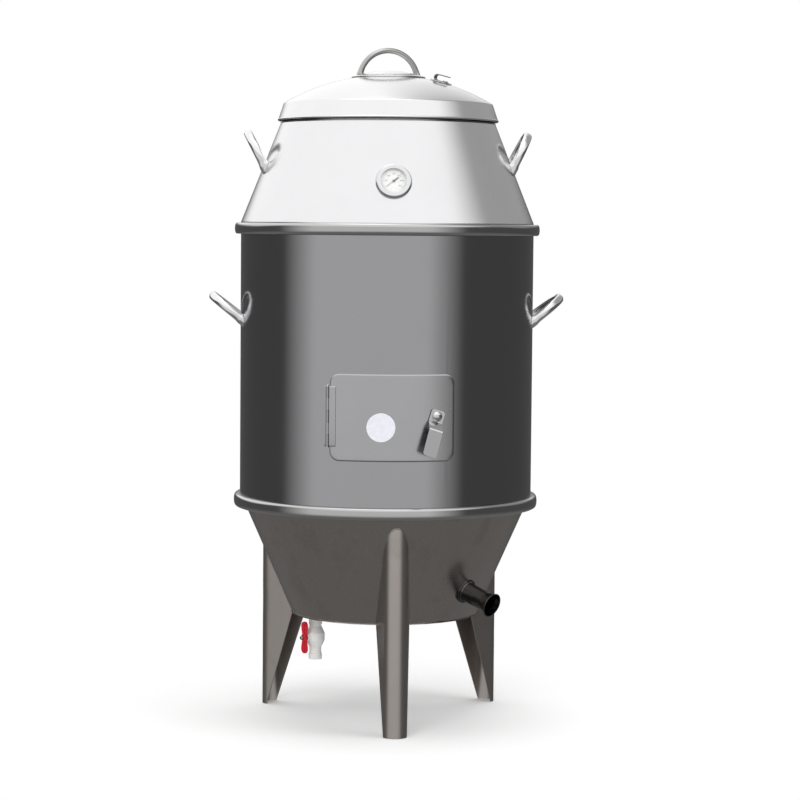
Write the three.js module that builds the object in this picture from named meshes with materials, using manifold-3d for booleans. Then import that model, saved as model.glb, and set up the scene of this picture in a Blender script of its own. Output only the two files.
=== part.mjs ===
// Duck roasting oven: a funnel base on three folded legs, an insulated barrel with a fuel door,
// a cone hood with a dial thermometer, and a domed lid. Millimetres, +Z up, front towards -Y,
// origin at floor level, in the middle of the oven's length and width.

import * as THREE from 'three';
import { mergeVertices } from 'three/addons/utils/BufferGeometryUtils.js';
import Module from 'manifold-3d';

const wasm = await Module();
wasm.setup();

// Shared sizes
const seatGap = 0.3;
const overrun = 6;
const sheetWall = 1.5;
const roundSides = 32;
const smallSides = 12;
const mergeDistance = 0.0001;
const quarterTurn = 90;

// Stand and base cone
const floorClearance = 234;
const baseConeTaper = 106;
const baseTopInset = 13;
const baseConeHeight = 241.4;
const bottomPlateWall = 2;
const bottomPlateLip = 2;
const baseTurn = 2.5;
const legNoseInset = 8;
const legNoseRadius = 27;
const legCheekSplay = 8;
const legWall = 2.5;
const legFootDepth = 20;
const legCount = 3;
const legNoseSteps = 6;

// Beaded rings between the sections
const lowerRingHeight = 27;
const upperRingHeight = 25;
const ringBulge = 15.5;
const ringSteps = 3;
const lowerLedgeWidth = 25;

// Barrel
const barrelRadius = 330;
const barrelHeight = 610;
const linerDepth = 30;
const linerWall = 1.2;

// Fuel door and its frame
const doorWidth = 268;
const doorHeight = 188;
const doorCornerRadius = 20;
const doorSillRise = 125.2;
const doorOverlapSide = 11;
const doorOverlapEnd = 15;
const openingCornerRadius = 12;
const doorPanInset = 3.2;
const doorPanStandoff = 4;
const doorDiscRadius = 31;
const doorDiscWall = 0.5;
const doorDiscSide = -25;
const doorDiscRise = 74;

// Door hinge
const hingeHeight = 130;
const hingeRise = 96;
const knuckleRadius = 3.5;
const knuckleCount = 5;
const knuckleGap = 0.4;
const hingePinRadius = 1.8;
const hingePinHeadRadius = 3.1;
const hingePinHeadHeight = 2.5;
const hingeEdgeGap = 1.7;
const doorLeafWidth = 18;
const frameLeafWidth = 8;
const hingeLeafWall = 1.5;
const hingeSides = 8;

// Door latch
const latchInset = 39;
const latchRise = 98;
const latchRestTurn = -18;
const latchShankRadius = 5;
const latchHeadRadius = 11;
const latchHeadHeight = 7;
const latchHeadEdgeAngle = 25;
const latchHeadSteps = 3;
const latchWasherRadius = 13;
const latchWasherWall = 1.5;
const leverWall = 2.5;
const leverWidth = 31;
const leverTopReach = 14;
const leverFlatLength = 13;
const leverShelfDrop = 17;
const leverShelfReach = 20;
const leverBladeDrop = 58;
const leverBladeReach = 8;
const leverCornerRadius = 6;
const tongueLength = 52;
const tongueWidth = 20;
const tongueWall = 3;
const tongueDepth = 9;
const latchNutRadius = 9;
const latchNutHeight = 6;
const latchShankTail = 3;

// Side handles and lid handle
const handleHalfSpan = 67;
const sideHandleHeight = 80;
const handleHalfWidth = 9.5;
const handleHalfThickness = 6.2;
const handleSteps = 10;
const handleSectionSides = 8;
const barrelHandleDrop = 187.8;
const barrelHandleTilt = 38;
const hoodHandleRise = 128.1;
const hoodHandleTilt = 63;
const handleFootDepth = 30;
const lidHandleRise = 52;
const lidHandleTurn = 12;

// Hood
const hoodSkirtHeight = 25;
const hoodConeHeight = 221;
const hoodTopRadius = 242;
const neckInset = 6;
const neckStrips = 4;

// Lid
const lidSeatGap = 4;
const lidSkirtHeight = 40;
const lidOverhang = 4;
const lidSkirtTaper = 11;
const lidBeadRadius = 2.5;
const lidDomeRadius = 460;
const lidKneeFillet = 5;
const lidMouthRadius = 70;
const capRadius = 83;
const capEdgeHeight = 2.5;
const capRise = 12;
const capShoulder = 4;
const capSides = 20;
const capDomeSteps = 2;

// Vent in the lid's slope
const ventReach = 122;
const ventAzimuth = 71;
const ventHoleRadius = 16;
const ventCoverRadius = 25;
const ventPivotReach = 34;
const ventEarRadius = 9;
const ventTabWidth = 20;
const ventTabLength = 32;
const ventTabRise = 15;
const ventTabBendSteps = 4;
const ventSegments = 8;
const ventRivetRadius = 3;
const ventRivetHeadRadius = 6;
const ventRivetHeadHeight = 2.5;
const ventRivetDrop = 6;

// Air pipe on the base cone
const airPipeAzimuth = 46;
const airPipeRise = 67.7;
const airPipeDroop = 18;
const airPipeRadius = 21.5;
const airPipeLength = 80;
const airPipeMouthRadius = 27;
const airPipeFlareLength = 16;
const airPipeCollarRadius = 28;
const airPipeCollarHeight = 4;
const airPipeSpigot = 10;
const airPipeSides = 14;

// Drain pipe and ball valve
const drainInset = 43;
const drainAzimuth = -70;
const drainPipeRadius = 10.5;
const drainPipeWall = 2;
const drainFlangeRadius = 20;
const drainFlangeWall = 2;
const valveDrop = 49;
const valveTopReach = 41;
const valveBottomReach = 51;
const valveSocketRadius = 15;
const valveSocketLength = 13;
const valveSocketDepth = 12;
const valveNeckRadius = 13.4;
const valveNeckReach = 24;
const valveBulgeRadius = 21;
const valveBulgeReach = 15;
const valveBulgeFlat = 6;
const valveBoreRadius = 8;
const valveBallRadius = 14;
const valveBallSides = 10;
const stemAzimuth = -52.5;
const stemRadius = 4;
const stemBossRadius = 9;
const stemBossReach = 27;
const stemTangWall = 2.4;
const stemTangDepth = 3;
const stemTail = 12;
const valveHandleReach = 36;
const valveHandleHalfWidth = 10;
const valveHandleWaist = 6;
const valveHandleWall = 4;
const valveWingLift = 1.5;
const valveHubRadius = 8.5;
const valveHubHeight = 8;
const valveScrewRadius = 4.5;
const valveScrewHeight = 3;

// Charcoal pot, grate and grease pan
const potSides = 20;
const potWall = 2;
const potTopRadius = 140;
const potBottomRadius = 105;
const potFloorRise = 102;
const potHeight = 200;
const potLedgeWidth = 18;
const potHoleRadius = 12;
const potHolePairs = 3;
const potHoleSides = 6;
const potHoleRowShares = [0.2, 0.5];
const potFootCount = 3;
const potFootWidth = 28;
const potFootWall = 4;
const potFootToe = 18;
const grateWall = 4;
const grateGapShare = 0.5;
const grateSlotCount = 5;
const grateRim = 10;
const panDrop = 45.7;
const panDepth = 35;
const panPotGap = 20;
const panWall = 1.2;
const panLean = 8;

// Ring that the birds hang from
const ledgeDrop = 89.8;
const ledgeWidth = 16;
const ledgeWall = 3;
const hookRingInset = 2;
const hookRingWall = 3;
const hookRingHeight = 24;
const hookCount = 8;
const hookRodRadius = 3;
const hookArm = 14;
const hookKneeRadius = 8;
const hookDrop = 22;
const hookBendRadius = 12;
const hookTip = 8;
const hookSteps = 6;
const nutSides = 6;
const hookRodSides = 5;

// Dial thermometer on the hood
const gaugeRise = 88.1;
const gaugeRadius = 39.5;
const gaugeSides = 18;
const dialSides = 16;
const gaugeBedding = 4;
const gaugeFlange = 3;
const gaugeBezelHeight = 9;
const gaugeWindowRadius = 27.5;
const gaugeGlassSeat = 5.3;
const gaugeWellRadius = 26;
const gaugeWellFloor = 2;
const gaugeGlassWall = 1.5;
const dialWall = 0.8;
const needleLift = 0.6;
const needleWall = 0.6;
const needleLength = 20;
const needleTail = 13;
const needleHalfWidth = 1.6;
const needleHubRadius = 3;
const needleHubHeight = 1.2;
const needlePinRadius = 1.2;
const needleRestTurn = 128;
const probeBossRadius = 5;
const probeBossDepth = 15;
const probeRadius = 3;
const probeLength = 110;
const gaugeNutRadius = 9;
const gaugeNutHeight = 6;
const gaugeNutGap = 1.2;

// Levels that follow from the sizes above
const bottomPlateTop = floorClearance + bottomPlateWall;
const baseConeBottom = bottomPlateTop + seatGap;
const baseConeTop = baseConeBottom + baseConeHeight;
const lowerRingBottom = baseConeTop + seatGap;
const barrelBottom = lowerRingBottom + sheetWall + seatGap;
const barrelTop = barrelBottom + barrelHeight;
const upperRingBottom = barrelTop + seatGap;
const hoodBottom = upperRingBottom + sheetWall + seatGap;
const hoodConeBottom = hoodBottom + hoodSkirtHeight;
const hoodTop = hoodConeBottom + hoodConeHeight;
const neckFlangeBottom = hoodTop + seatGap;
const neckFlangeTop = neckFlangeBottom + sheetWall;
const lidBottom = neckFlangeTop + lidSeatGap;
const doorSill = barrelBottom + doorSillRise;
const latchHeight = doorSill + latchRise;
const barrelHandleHeight = barrelTop - barrelHandleDrop;
const hoodHandleHeight = hoodConeBottom + hoodHandleRise;
const gaugeHeight = hoodConeBottom + gaugeRise;
const airPipeHeight = baseConeBottom + airPipeRise;
const potFloorHeight = bottomPlateTop + potFloorRise;
const panTopHeight = baseConeTop - panDrop;
const ledgeHeight = barrelTop - ledgeDrop;

// Radii and reaches that follow
const baseTopRadius = barrelRadius - baseTopInset;
const baseBottomRadius = baseTopRadius - baseConeTaper;
const legNoseReach = baseTopRadius - legNoseInset;
const drainReach = baseBottomRadius - drainInset;
const linerRadius = barrelRadius - linerDepth;
const linerInnerRadius = linerRadius - linerWall;
const ringSeatRadius = barrelRadius + seatGap;
const doorPanelRadius = barrelRadius + seatGap;
const doorFaceRadius = doorPanelRadius + sheetWall;
const doorPanRadius = linerRadius + doorPanStandoff;
const latchSide = doorWidth / 2 - latchInset;
const neckRadius = hoodTopRadius - neckInset;
const lidRimRadius = hoodTopRadius + lidOverhang;
const lidKneeRadius = lidRimRadius - lidSkirtTaper;
const panInnerRadius = potTopRadius + panPotGap;

// Slopes of the two cones: how far the radius changes for each unit of height
const baseSlope = baseConeTaper / baseConeHeight;
const hoodSlope = (barrelRadius - hoodTopRadius) / hoodConeHeight;
const hoodNormalRise = degrees(Math.atan(hoodSlope));

// Finishes: colour, roughness and metalness of each kind of surface
const finishes = {
  barrelSteel: { color: 0x77777a, roughness: 0.28, metalness: 1 },
  hoodSteel: { color: 0xb9bbc0, roughness: 0.25, metalness: 1 },
  baseSteel: { color: 0x827870, roughness: 0.35, metalness: 1 },
  innerSteel: { color: 0x8a8680, roughness: 0.5, metalness: 1 },
  castIron: { color: 0x2f2c2a, roughness: 0.8, metalness: 0.6 },
  mineralWool: { color: 0xc9bfa4, roughness: 0.95, metalness: 0 },
  whitePlastic: { color: 0xf1f1ee, roughness: 0.4, metalness: 0 },
  redPlastic: { color: 0xc8232b, roughness: 0.4, metalness: 0 },
  whitePaint: { color: 0xf4f4f2, roughness: 0.5, metalness: 0 },
  clearGlass: { color: 0xdfe8ea, roughness: 0.05, metalness: 0 },
  brass: { color: 0xb08d4a, roughness: 0.35, metalness: 1 },
};

function degrees(radians) {
  return THREE.MathUtils.radToDeg(radians);
}

function radians(angle) {
  return THREE.MathUtils.degToRad(angle);
}

// A point at an azimuth, counted from the front towards the right, at a radius and a height
function pointAt(azimuth, radius, height) {
  const turn = radians(azimuth);
  return new THREE.Vector3(radius * Math.sin(turn), -radius * Math.cos(turn), height);
}

// A frame whose X runs to the right along the wall, Y up it and Z out of it, raised by an angle
function wallFrame(origin, azimuth, rise) {
  const right = pointAt(azimuth + 90, 1, 0);
  const outward = pointAt(azimuth, Math.cos(radians(rise)), Math.sin(radians(rise)));
  const upward = outward.clone().cross(right);
  return new THREE.Matrix4().makeBasis(right, upward, outward).setPosition(origin);
}

// The same frame turned so that X runs up, Y out and Z to the right, to draw a profile side-on
function sideOn(frame) {
  const [right, up, out] = [new THREE.Vector3(), new THREE.Vector3(), new THREE.Vector3()];
  frame.extractBasis(right, up, out);
  const origin = new THREE.Vector3().setFromMatrixPosition(frame);
  return new THREE.Matrix4().makeBasis(up, out, right).setPosition(origin);
}

// A frame on the axis whose X runs outward, Y up and Z along the wall to the left
function radialFrame(azimuth) {
  const upward = new THREE.Vector3(0, 0, 1);
  return new THREE.Matrix4().makeBasis(pointAt(azimuth, 1, 0), upward, pointAt(azimuth - 90, 1, 0));
}

// A closed mesh as a solid, with its faces turned outward
function solidFrom(geometry) {
  geometry.deleteAttribute('normal');
  geometry.deleteAttribute('uv');
  const merged = mergeVertices(geometry, mergeDistance);
  const corners = merged.getAttribute('position');
  const source = merged.index.array;
  const kept = [];
  for (let i = 0; i < source.length; i += 3) {
    const [a, b, c] = [source[i], source[i + 1], source[i + 2]];
    if (a !== b && b !== c && c !== a) {
      kept.push([a, b, c]);
    }
  }
  const outward = enclosedVolume(corners, kept) > 0;
  const triVerts = new Uint32Array(kept.flatMap(([a, b, c]) => (outward ? [a, b, c] : [a, c, b])));
  const vertProperties = new Float32Array(corners.array);
  return new wasm.Manifold(new wasm.Mesh({ numProp: 3, vertProperties, triVerts }));
}

function enclosedVolume(corners, triangles) {
  const [p, q, r] = [new THREE.Vector3(), new THREE.Vector3(), new THREE.Vector3()];
  let volume = 0;
  for (const [a, b, c] of triangles) {
    p.fromBufferAttribute(corners, a);
    q.fromBufferAttribute(corners, b);
    r.fromBufferAttribute(corners, c);
    volume += p.dot(q.cross(r)) / 6;
  }
  return volume;
}

// A profile of [radius, height] points turned round the local Z axis
function turned(profile, sides = roundSides, frame = new THREE.Matrix4()) {
  const points = [...profile, profile[0]].map(([radius, height]) => new THREE.Vector2(radius, height));
  const geometry = new THREE.LatheGeometry(points, sides);
  geometry.rotateX(Math.PI / 2);
  geometry.applyMatrix4(frame);
  return solidFrom(geometry);
}

function cylinder(radius, from, to, sides = smallSides, frame = new THREE.Matrix4()) {
  return turned([[0, from], [radius, from], [radius, to], [0, to]], sides, frame);
}

// An open line of points moved to its left by a distance, mitred at its corners and with its
// ends cut along the nearer of the two axes
function movedLine(line, distance) {
  const points = line.map(([u, v]) => new THREE.Vector2(u, v));
  const sideways = points.slice(1).map((point, i) => {
    const along = point.clone().sub(points[i]).normalize();
    return new THREE.Vector2(-along.y, along.x);
  });
  return points.map((point, i) => {
    const [before, after] = [sideways[i - 1], sideways[i]];
    const facing = before ?? after;
    const mitre = before && after ? before.clone().add(after).normalize() : nearerAxis(facing);
    const moved = point.clone().addScaledVector(mitre, distance / mitre.dot(facing));
    return [moved.x, moved.y];
  });
}

function nearerAxis({ x, y }) {
  return Math.abs(x) > Math.abs(y) ? new THREE.Vector2(Math.sign(x), 0) : new THREE.Vector2(0, Math.sign(y));
}

// A wall bent along a line, as a closed outline
function sheetOutline(line, wall) {
  return [...line, ...movedLine(line, wall).reverse()];
}

function turnedSheet(line, wall, sides = roundSides, frame = new THREE.Matrix4()) {
  return turned(sheetOutline(line, wall), sides, frame);
}

// Points along an arc of an ellipse, from one angle to another
function arcPoints(centre, reach, from, to, steps) {
  return Array.from({ length: steps + 1 }, (_, i) => {
    const angle = radians(from + ((to - from) * i) / steps);
    return [centre[0] + reach[0] * Math.cos(angle), centre[1] + reach[1] * Math.sin(angle)];
  });
}

function shapeFrom(points) {
  return new THREE.Shape(points.map(([u, v]) => new THREE.Vector2(u, v)));
}

// A shape in the local XY plane drawn out along the local Z axis
function prism(shape, from, to, frame = new THREE.Matrix4(), curveSegments = 3) {
  const depth = to - from;
  const geometry = new THREE.ExtrudeGeometry(shape, { depth, curveSegments, bevelEnabled: false });
  geometry.translate(0, 0, from);
  geometry.applyMatrix4(frame);
  return solidFrom(geometry);
}

function roundedRectangle(width, height, radius, centreHeight = 0) {
  const side = width / 2;
  const bottom = centreHeight - height / 2;
  const top = centreHeight + height / 2;
  const shape = new THREE.Shape();
  shape.moveTo(-side + radius, bottom);
  shape.absarc(side - radius, bottom + radius, radius, -Math.PI / 2, 0);
  shape.absarc(side - radius, top - radius, radius, 0, Math.PI / 2);
  shape.absarc(-side + radius, top - radius, radius, Math.PI / 2, Math.PI);
  shape.absarc(-side + radius, bottom + radius, radius, Math.PI, Math.PI * 1.5);
  return shape;
}

function block(low, high, frame = new THREE.Matrix4()) {
  const size = high.map((value, i) => value - low[i]);
  const geometry = new THREE.BoxGeometry(...size);
  geometry.translate(...low.map((value, i) => value + size[i] / 2));
  geometry.applyMatrix4(frame);
  return solidFrom(geometry);
}

// A rod's centre line in the local XZ plane: straight runs and bends, one after another
class BentRod extends THREE.Curve {
  constructor(start, heading, runs) {
    super();
    this.runs = [];
    this.total = 0;
    let [x, z, angle] = [...start, radians(heading)];
    for (const { straight, bend, turn } of runs) {
      const sweep = turn ? radians(turn) : 0;
      const span = turn ? bend * Math.abs(sweep) : straight;
      this.runs.push({ x, z, angle, sweep, span, bend, begins: this.total });
      [x, z] = this.along(this.runs.at(-1), span);
      angle += sweep;
      this.total += span;
    }
  }

  along({ x, z, angle, sweep, span, bend }, distance) {
    if (sweep === 0) {
      return [x + distance * Math.cos(angle), z + distance * Math.sin(angle)];
    }
    const side = Math.sign(sweep);
    const reached = angle + (sweep * distance) / span;
    return [
      x + bend * side * (Math.sin(reached) - Math.sin(angle)),
      z - bend * side * (Math.cos(reached) - Math.cos(angle)),
    ];
  }

  getPoint(t, target = new THREE.Vector3()) {
    const distance = t * this.total;
    const run = this.runs.findLast(({ begins }) => begins <= distance) ?? this.runs[0];
    const [x, z] = this.along(run, distance - run.begins);
    return target.set(x, 0, z);
  }
}

function sweptRod(section, rod, steps, frame) {
  const geometry = new THREE.ExtrudeGeometry(section, { steps, extrudePath: rod, bevelEnabled: false });
  geometry.applyMatrix4(frame);
  return solidFrom(geometry);
}

function ovalSection(halfWidth, halfThickness, sides) {
  const points = arcPoints([0, 0], [halfWidth, halfThickness], 0, 360, sides);
  return shapeFrom(points.slice(0, sides));
}

// A named piece of the model with its own finish
function piece(group, name, solid, finish) {
  const { vertProperties, triVerts } = solid.getMesh();
  const geometry = new THREE.BufferGeometry();
  geometry.setAttribute('position', new THREE.BufferAttribute(new Float32Array(vertProperties), 3));
  geometry.setIndex(new THREE.BufferAttribute(new Uint32Array(triVerts), 1));
  geometry.computeVertexNormals();
  const mesh = new THREE.Mesh(geometry, new THREE.MeshStandardMaterial(finish));
  mesh.name = name;
  group.add(mesh);
}

function baseRadiusAt(height) {
  return baseBottomRadius + baseSlope * (height - baseConeBottom);
}

function hoodRadiusAt(height) {
  return barrelRadius - hoodSlope * (height - hoodConeBottom);
}

// The solid that fills the base cone's outside, kept clear of it by a gap
function baseConeBlock(gap) {
  const spread = gap * Math.hypot(1, baseSlope);
  const [low, high] = [baseConeBottom - overrun, baseConeTop + overrun];
  return turned([
    [0, low],
    [baseRadiusAt(low) + spread, low],
    [baseRadiusAt(high) + spread, high],
    [0, high],
  ]);
}

// The same for the hood's cone
function hoodConeBlock(gap) {
  const spread = gap * Math.hypot(1, hoodSlope);
  const [low, high] = [hoodConeBottom - overrun, hoodTop + overrun];
  return turned([
    [0, low],
    [hoodRadiusAt(low) + spread, low],
    [hoodRadiusAt(high) + spread, high],
    [0, high],
  ]);
}

// Base cone, its bottom plate and the openings for the air pipe and the drain

function airPipeFrame() {
  const azimuth = airPipeAzimuth;
  return wallFrame(pointAt(azimuth, baseRadiusAt(airPipeHeight), airPipeHeight), azimuth, -airPipeDroop);
}

function buildBaseCone(group) {
  const line = [[baseBottomRadius, baseConeBottom], [baseTopRadius, baseConeTop]];
  const reach = airPipeRadius + seatGap;
  const pipeHole = cylinder(reach, -airPipeLength, airPipeLength, airPipeSides, airPipeFrame());
  piece(group, 'base_cone', turnedSheet(line, sheetWall).subtract(pipeHole), finishes.baseSteel);
}

function buildBaseBottom(group) {
  const radius = baseBottomRadius + bottomPlateLip;
  const plate = cylinder(radius, floorClearance, bottomPlateTop, roundSides);
  const drain = new THREE.Matrix4().setPosition(pointAt(drainAzimuth, drainReach, floorClearance));
  const hole = cylinder(drainPipeRadius + seatGap, -overrun, bottomPlateWall + overrun, smallSides, drain);
  piece(group, 'base_bottom', plate.subtract(hole), finishes.baseSteel);
}

// Folded leg: a round nose with two splayed cheeks, trimmed to the cone and slanted to the foot

function legPlan() {
  const noseCentre = legNoseRadius - legNoseReach;
  const nose = arcPoints([0, noseCentre], [legNoseRadius, legNoseRadius],
    legCheekSplay - 2 * quarterTurn, -legCheekSplay, legNoseSteps);
  const run = -baseBottomRadius - noseCentre + legNoseRadius;
  const spread = run * Math.tan(radians(legCheekSplay));
  const [left, right] = [nose[0], nose.at(-1)];
  return [[left[0] - spread, left[1] + run], ...nose, [right[0] + spread, right[1] + run]];
}

function buildLeg(group, name, azimuth) {
  const frame = new THREE.Matrix4().makeRotationZ(radians(azimuth));
  const top = baseConeBottom + (legNoseReach - baseBottomRadius) / baseSlope;
  const channel = prism(shapeFrom(sheetOutline(legPlan(), legWall)), 0, top, frame);
  const plateEdge = baseBottomRadius + bottomPlateLip + seatGap;
  const footInner = legNoseReach - legFootDepth;
  const lean = (footInner - plateEdge) / floorClearance;
  const slant = shapeFrom([
    [0, -overrun],
    [footInner + lean * overrun, -overrun],
    [plateEdge, floorClearance],
    [plateEdge, top + overrun],
    [0, top + overrun],
  ]);
  const halfSpan = legNoseReach / 2;
  const trimmed = channel.subtract(prism(slant, -halfSpan, halfSpan, radialFrame(azimuth)));
  piece(group, name, trimmed.subtract(baseConeBlock(seatGap)), finishes.baseSteel);
}

// A rolled bead round the body, with a flat ledge inside it that the section above stands on
function beadedRing(bottom, height, ledgeRadius) {
  const middle = bottom + height / 2;
  const outer = arcPoints([ringSeatRadius, middle], [ringBulge, height / 2], -90, 90, ringSteps);
  const inner = arcPoints([ringSeatRadius, middle], [ringBulge - sheetWall, height / 2 - sheetWall],
    90, -90, ringSteps);
  return turned([[ledgeRadius, bottom], ...outer, ...inner, [ledgeRadius, bottom + sheetWall]]);
}

function buildAirPipe(group) {
  const frame = airPipeFrame();
  const flareStart = airPipeLength - airPipeFlareLength;
  const outside = turned([
    [0, -airPipeLength],
    [airPipeCollarRadius, -airPipeLength],
    [airPipeCollarRadius, airPipeCollarHeight],
    [airPipeRadius, airPipeCollarHeight],
    [airPipeRadius, flareStart],
    [airPipeMouthRadius, airPipeLength],
    [0, airPipeLength],
  ], airPipeSides, frame);
  const spigot = cylinder(airPipeRadius, -airPipeSpigot, airPipeCollarHeight, airPipeSides, frame);
  const bore = turned([
    [0, -airPipeLength],
    [airPipeRadius - sheetWall, -airPipeLength],
    [airPipeRadius - sheetWall, flareStart],
    [airPipeMouthRadius - sheetWall, airPipeLength],
    [airPipeMouthRadius - sheetWall, airPipeLength + overrun],
    [0, airPipeLength + overrun],
  ], airPipeSides, frame);
  const pipe = outside.subtract(baseConeBlock(seatGap)).add(spigot).subtract(bore);
  piece(group, 'air_pipe', pipe, finishes.innerSteel);
}

// Drain pipe and ball valve: heights are counted from the centre of the ball

function valveFrame() {
  const centre = pointAt(drainAzimuth, drainReach, floorClearance - valveDrop);
  return new THREE.Matrix4().setPosition(centre);
}

function stemFrame() {
  const centre = pointAt(drainAzimuth, drainReach, floorClearance - valveDrop);
  return wallFrame(centre, stemAzimuth, 0);
}

function buildDrainPipe(group) {
  const bore = drainPipeRadius - drainPipeWall;
  const flangeTop = valveDrop - seatGap;
  const low = valveTopReach - valveSocketDepth + seatGap;
  const profile = [
    [bore, low],
    [drainPipeRadius, low],
    [drainPipeRadius, flangeTop - drainFlangeWall],
    [drainFlangeRadius, flangeTop - drainFlangeWall],
    [drainFlangeRadius, flangeTop],
    [drainPipeRadius, flangeTop],
    [drainPipeRadius, valveDrop + bottomPlateWall],
    [bore, valveDrop + bottomPlateWall],
  ];
  piece(group, 'drain_pipe', turned(profile, smallSides, valveFrame()), finishes.baseSteel);
}

function buildValveBody(group) {
  const profile = [
    [0, -valveBottomReach],
    [valveSocketRadius, -valveBottomReach],
    [valveSocketRadius, -valveBottomReach + valveSocketLength],
    [valveNeckRadius, -valveBottomReach + valveSocketLength],
    [valveNeckRadius, -valveNeckReach],
    [(valveNeckRadius + valveBulgeRadius) / 2, -valveBulgeReach],
    [valveBulgeRadius, -valveBulgeFlat],
    [valveBulgeRadius, valveBulgeFlat],
    [(valveNeckRadius + valveBulgeRadius) / 2, valveBulgeReach],
    [valveNeckRadius, valveNeckReach],
    [valveNeckRadius, valveTopReach - valveSocketLength],
    [valveSocketRadius, valveTopReach - valveSocketLength],
    [valveSocketRadius, valveTopReach],
    [0, valveTopReach],
  ];
  const bore = turned([
    [0, -valveBottomReach - overrun],
    [drainPipeRadius, -valveBottomReach - overrun],
    [drainPipeRadius, -valveBottomReach + valveSocketDepth],
    [valveBoreRadius, -valveBottomReach + valveSocketDepth],
    [valveBoreRadius, valveTopReach - valveSocketDepth],
    [drainPipeRadius + seatGap, valveTopReach - valveSocketDepth],
    [drainPipeRadius + seatGap, valveTopReach + overrun],
    [0, valveTopReach + overrun],
  ], smallSides, valveFrame());
  const chamber = ballSolid((valveBallRadius + seatGap) / Math.cos(Math.PI / valveBallSides) ** 2);
  const boss = cylinder(stemBossRadius, 0, stemBossReach, smallSides, stemFrame());
  const stemHole = cylinder(stemRadius + seatGap, 0, stemBossReach + overrun, smallSides, stemFrame());
  const body = turned(profile, smallSides, valveFrame()).add(boss);
  const hollow = bore.add(chamber).add(stemHole);
  piece(group, 'valve_body', body.subtract(hollow), finishes.whitePlastic);
}

function ballSolid(radius) {
  const geometry = new THREE.SphereGeometry(radius, valveBallSides, valveBallSides / 2);
  geometry.applyMatrix4(stemFrame());
  return solidFrom(geometry);
}

function buildValveBall(group) {
  const bore = cylinder(valveBoreRadius, -valveBulgeRadius, valveBulgeRadius, smallSides, valveFrame());
  const slotHalf = stemTangWall / 2 + seatGap;
  const slotFloor = valveBallRadius - stemTangDepth - seatGap;
  const slot = block(
    [-slotHalf, -valveBallRadius, slotFloor],
    [slotHalf, valveBallRadius, valveBulgeRadius], stemFrame());
  piece(group, 'valve_ball', ballSolid(valveBallRadius).subtract(bore).subtract(slot), finishes.whitePlastic);
}

function buildValveStem(group) {
  const shoulder = valveBallRadius + seatGap;
  const rod = cylinder(stemRadius, shoulder, stemBossReach + stemTail, smallSides, stemFrame());
  const half = stemTangWall / 2;
  const reach = Math.sqrt(stemRadius ** 2 - half ** 2) - seatGap;
  const tangFloor = valveBallRadius - stemTangDepth;
  const tang = block([-half, -reach, tangFloor], [half, reach, shoulder + stemTangWall], stemFrame());
  piece(group, 'valve_stem', rod.add(tang), finishes.brass);
}

// Butterfly handle: two round wings, standing upright while the valve is open
function buildValveHandle(group) {
  const lobe = valveHandleReach - valveHandleHalfWidth;
  const shape = new THREE.Shape();
  shape.moveTo(valveHandleWaist, 0);
  shape.quadraticCurveTo(valveHandleWaist, lobe / 2, valveHandleHalfWidth, lobe);
  shape.absarc(0, lobe, valveHandleHalfWidth, 0, Math.PI);
  shape.quadraticCurveTo(-valveHandleWaist, lobe / 2, -valveHandleWaist, 0);
  shape.quadraticCurveTo(-valveHandleWaist, -lobe / 2, -valveHandleHalfWidth, -lobe);
  shape.absarc(0, -lobe, valveHandleHalfWidth, Math.PI, Math.PI * 2);
  shape.quadraticCurveTo(valveHandleWaist, -lobe / 2, valveHandleWaist, 0);
  const from = stemBossReach + seatGap;
  const wings = prism(shape, from + valveWingLift, from + valveWingLift + valveHandleWall, stemFrame());
  const hub = cylinder(valveHubRadius, from, from + valveHubHeight, smallSides, stemFrame());
  const hole = cylinder(stemRadius + seatGap, 0, from + valveHubHeight + overrun, smallSides, stemFrame());
  piece(group, 'valve_handle', wings.add(hub).subtract(hole), finishes.redPlastic);
}

function buildValveScrew(group) {
  const from = stemBossReach + stemTail + seatGap;
  const head = cylinder(valveScrewRadius, from, from + valveScrewHeight, nutSides, stemFrame());
  piece(group, 'valve_screw', head, finishes.baseSteel);
}

// Charcoal pot: a perforated bucket on three strap feet, with a grate on its inner ledge

// Strap foot seen from the side: a post under the pot's edge, with a toe bent outward
function potFootOutline() {
  const floor = bottomPlateTop + seatGap;
  const inner = potBottomRadius - potFootWall;
  return [
    [inner, floor],
    [potBottomRadius + potFootToe, floor],
    [potBottomRadius + potFootToe, floor + potFootWall],
    [potBottomRadius, floor + potFootWall],
    [potBottomRadius, potFloorHeight + potWall / 2],
    [inner, potFloorHeight + potWall / 2],
  ];
}

function buildFirepot(group) {
  const top = potFloorHeight + potHeight;
  const line = [
    [potBottomRadius - potLedgeWidth, potFloorHeight],
    [potBottomRadius, potFloorHeight],
    [potTopRadius, top],
  ];
  let pot = turnedSheet(line, potWall, potSides);
  for (let i = 0; i < potFootCount; i += 1) {
    const half = potFootWidth / 2;
    const foot = prism(shapeFrom(potFootOutline()), -half, half, radialFrame((360 / potFootCount) * (i + 1 / 2)));
    pot = pot.add(foot);
  }
  for (const share of potHoleRowShares) {
    for (let i = 0; i < potHolePairs; i += 1) {
      const azimuth = (180 / potHolePairs) * (i + share);
      const frame = wallFrame(new THREE.Vector3(0, 0, potFloorHeight + potHeight * share), azimuth, 0);
      const hole = cylinder(potHoleRadius, -potTopRadius, potTopRadius, potHoleSides, frame);
      pot = pot.subtract(hole);
    }
  }
  piece(group, 'firepot', pot, finishes.castIron);
}

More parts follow.
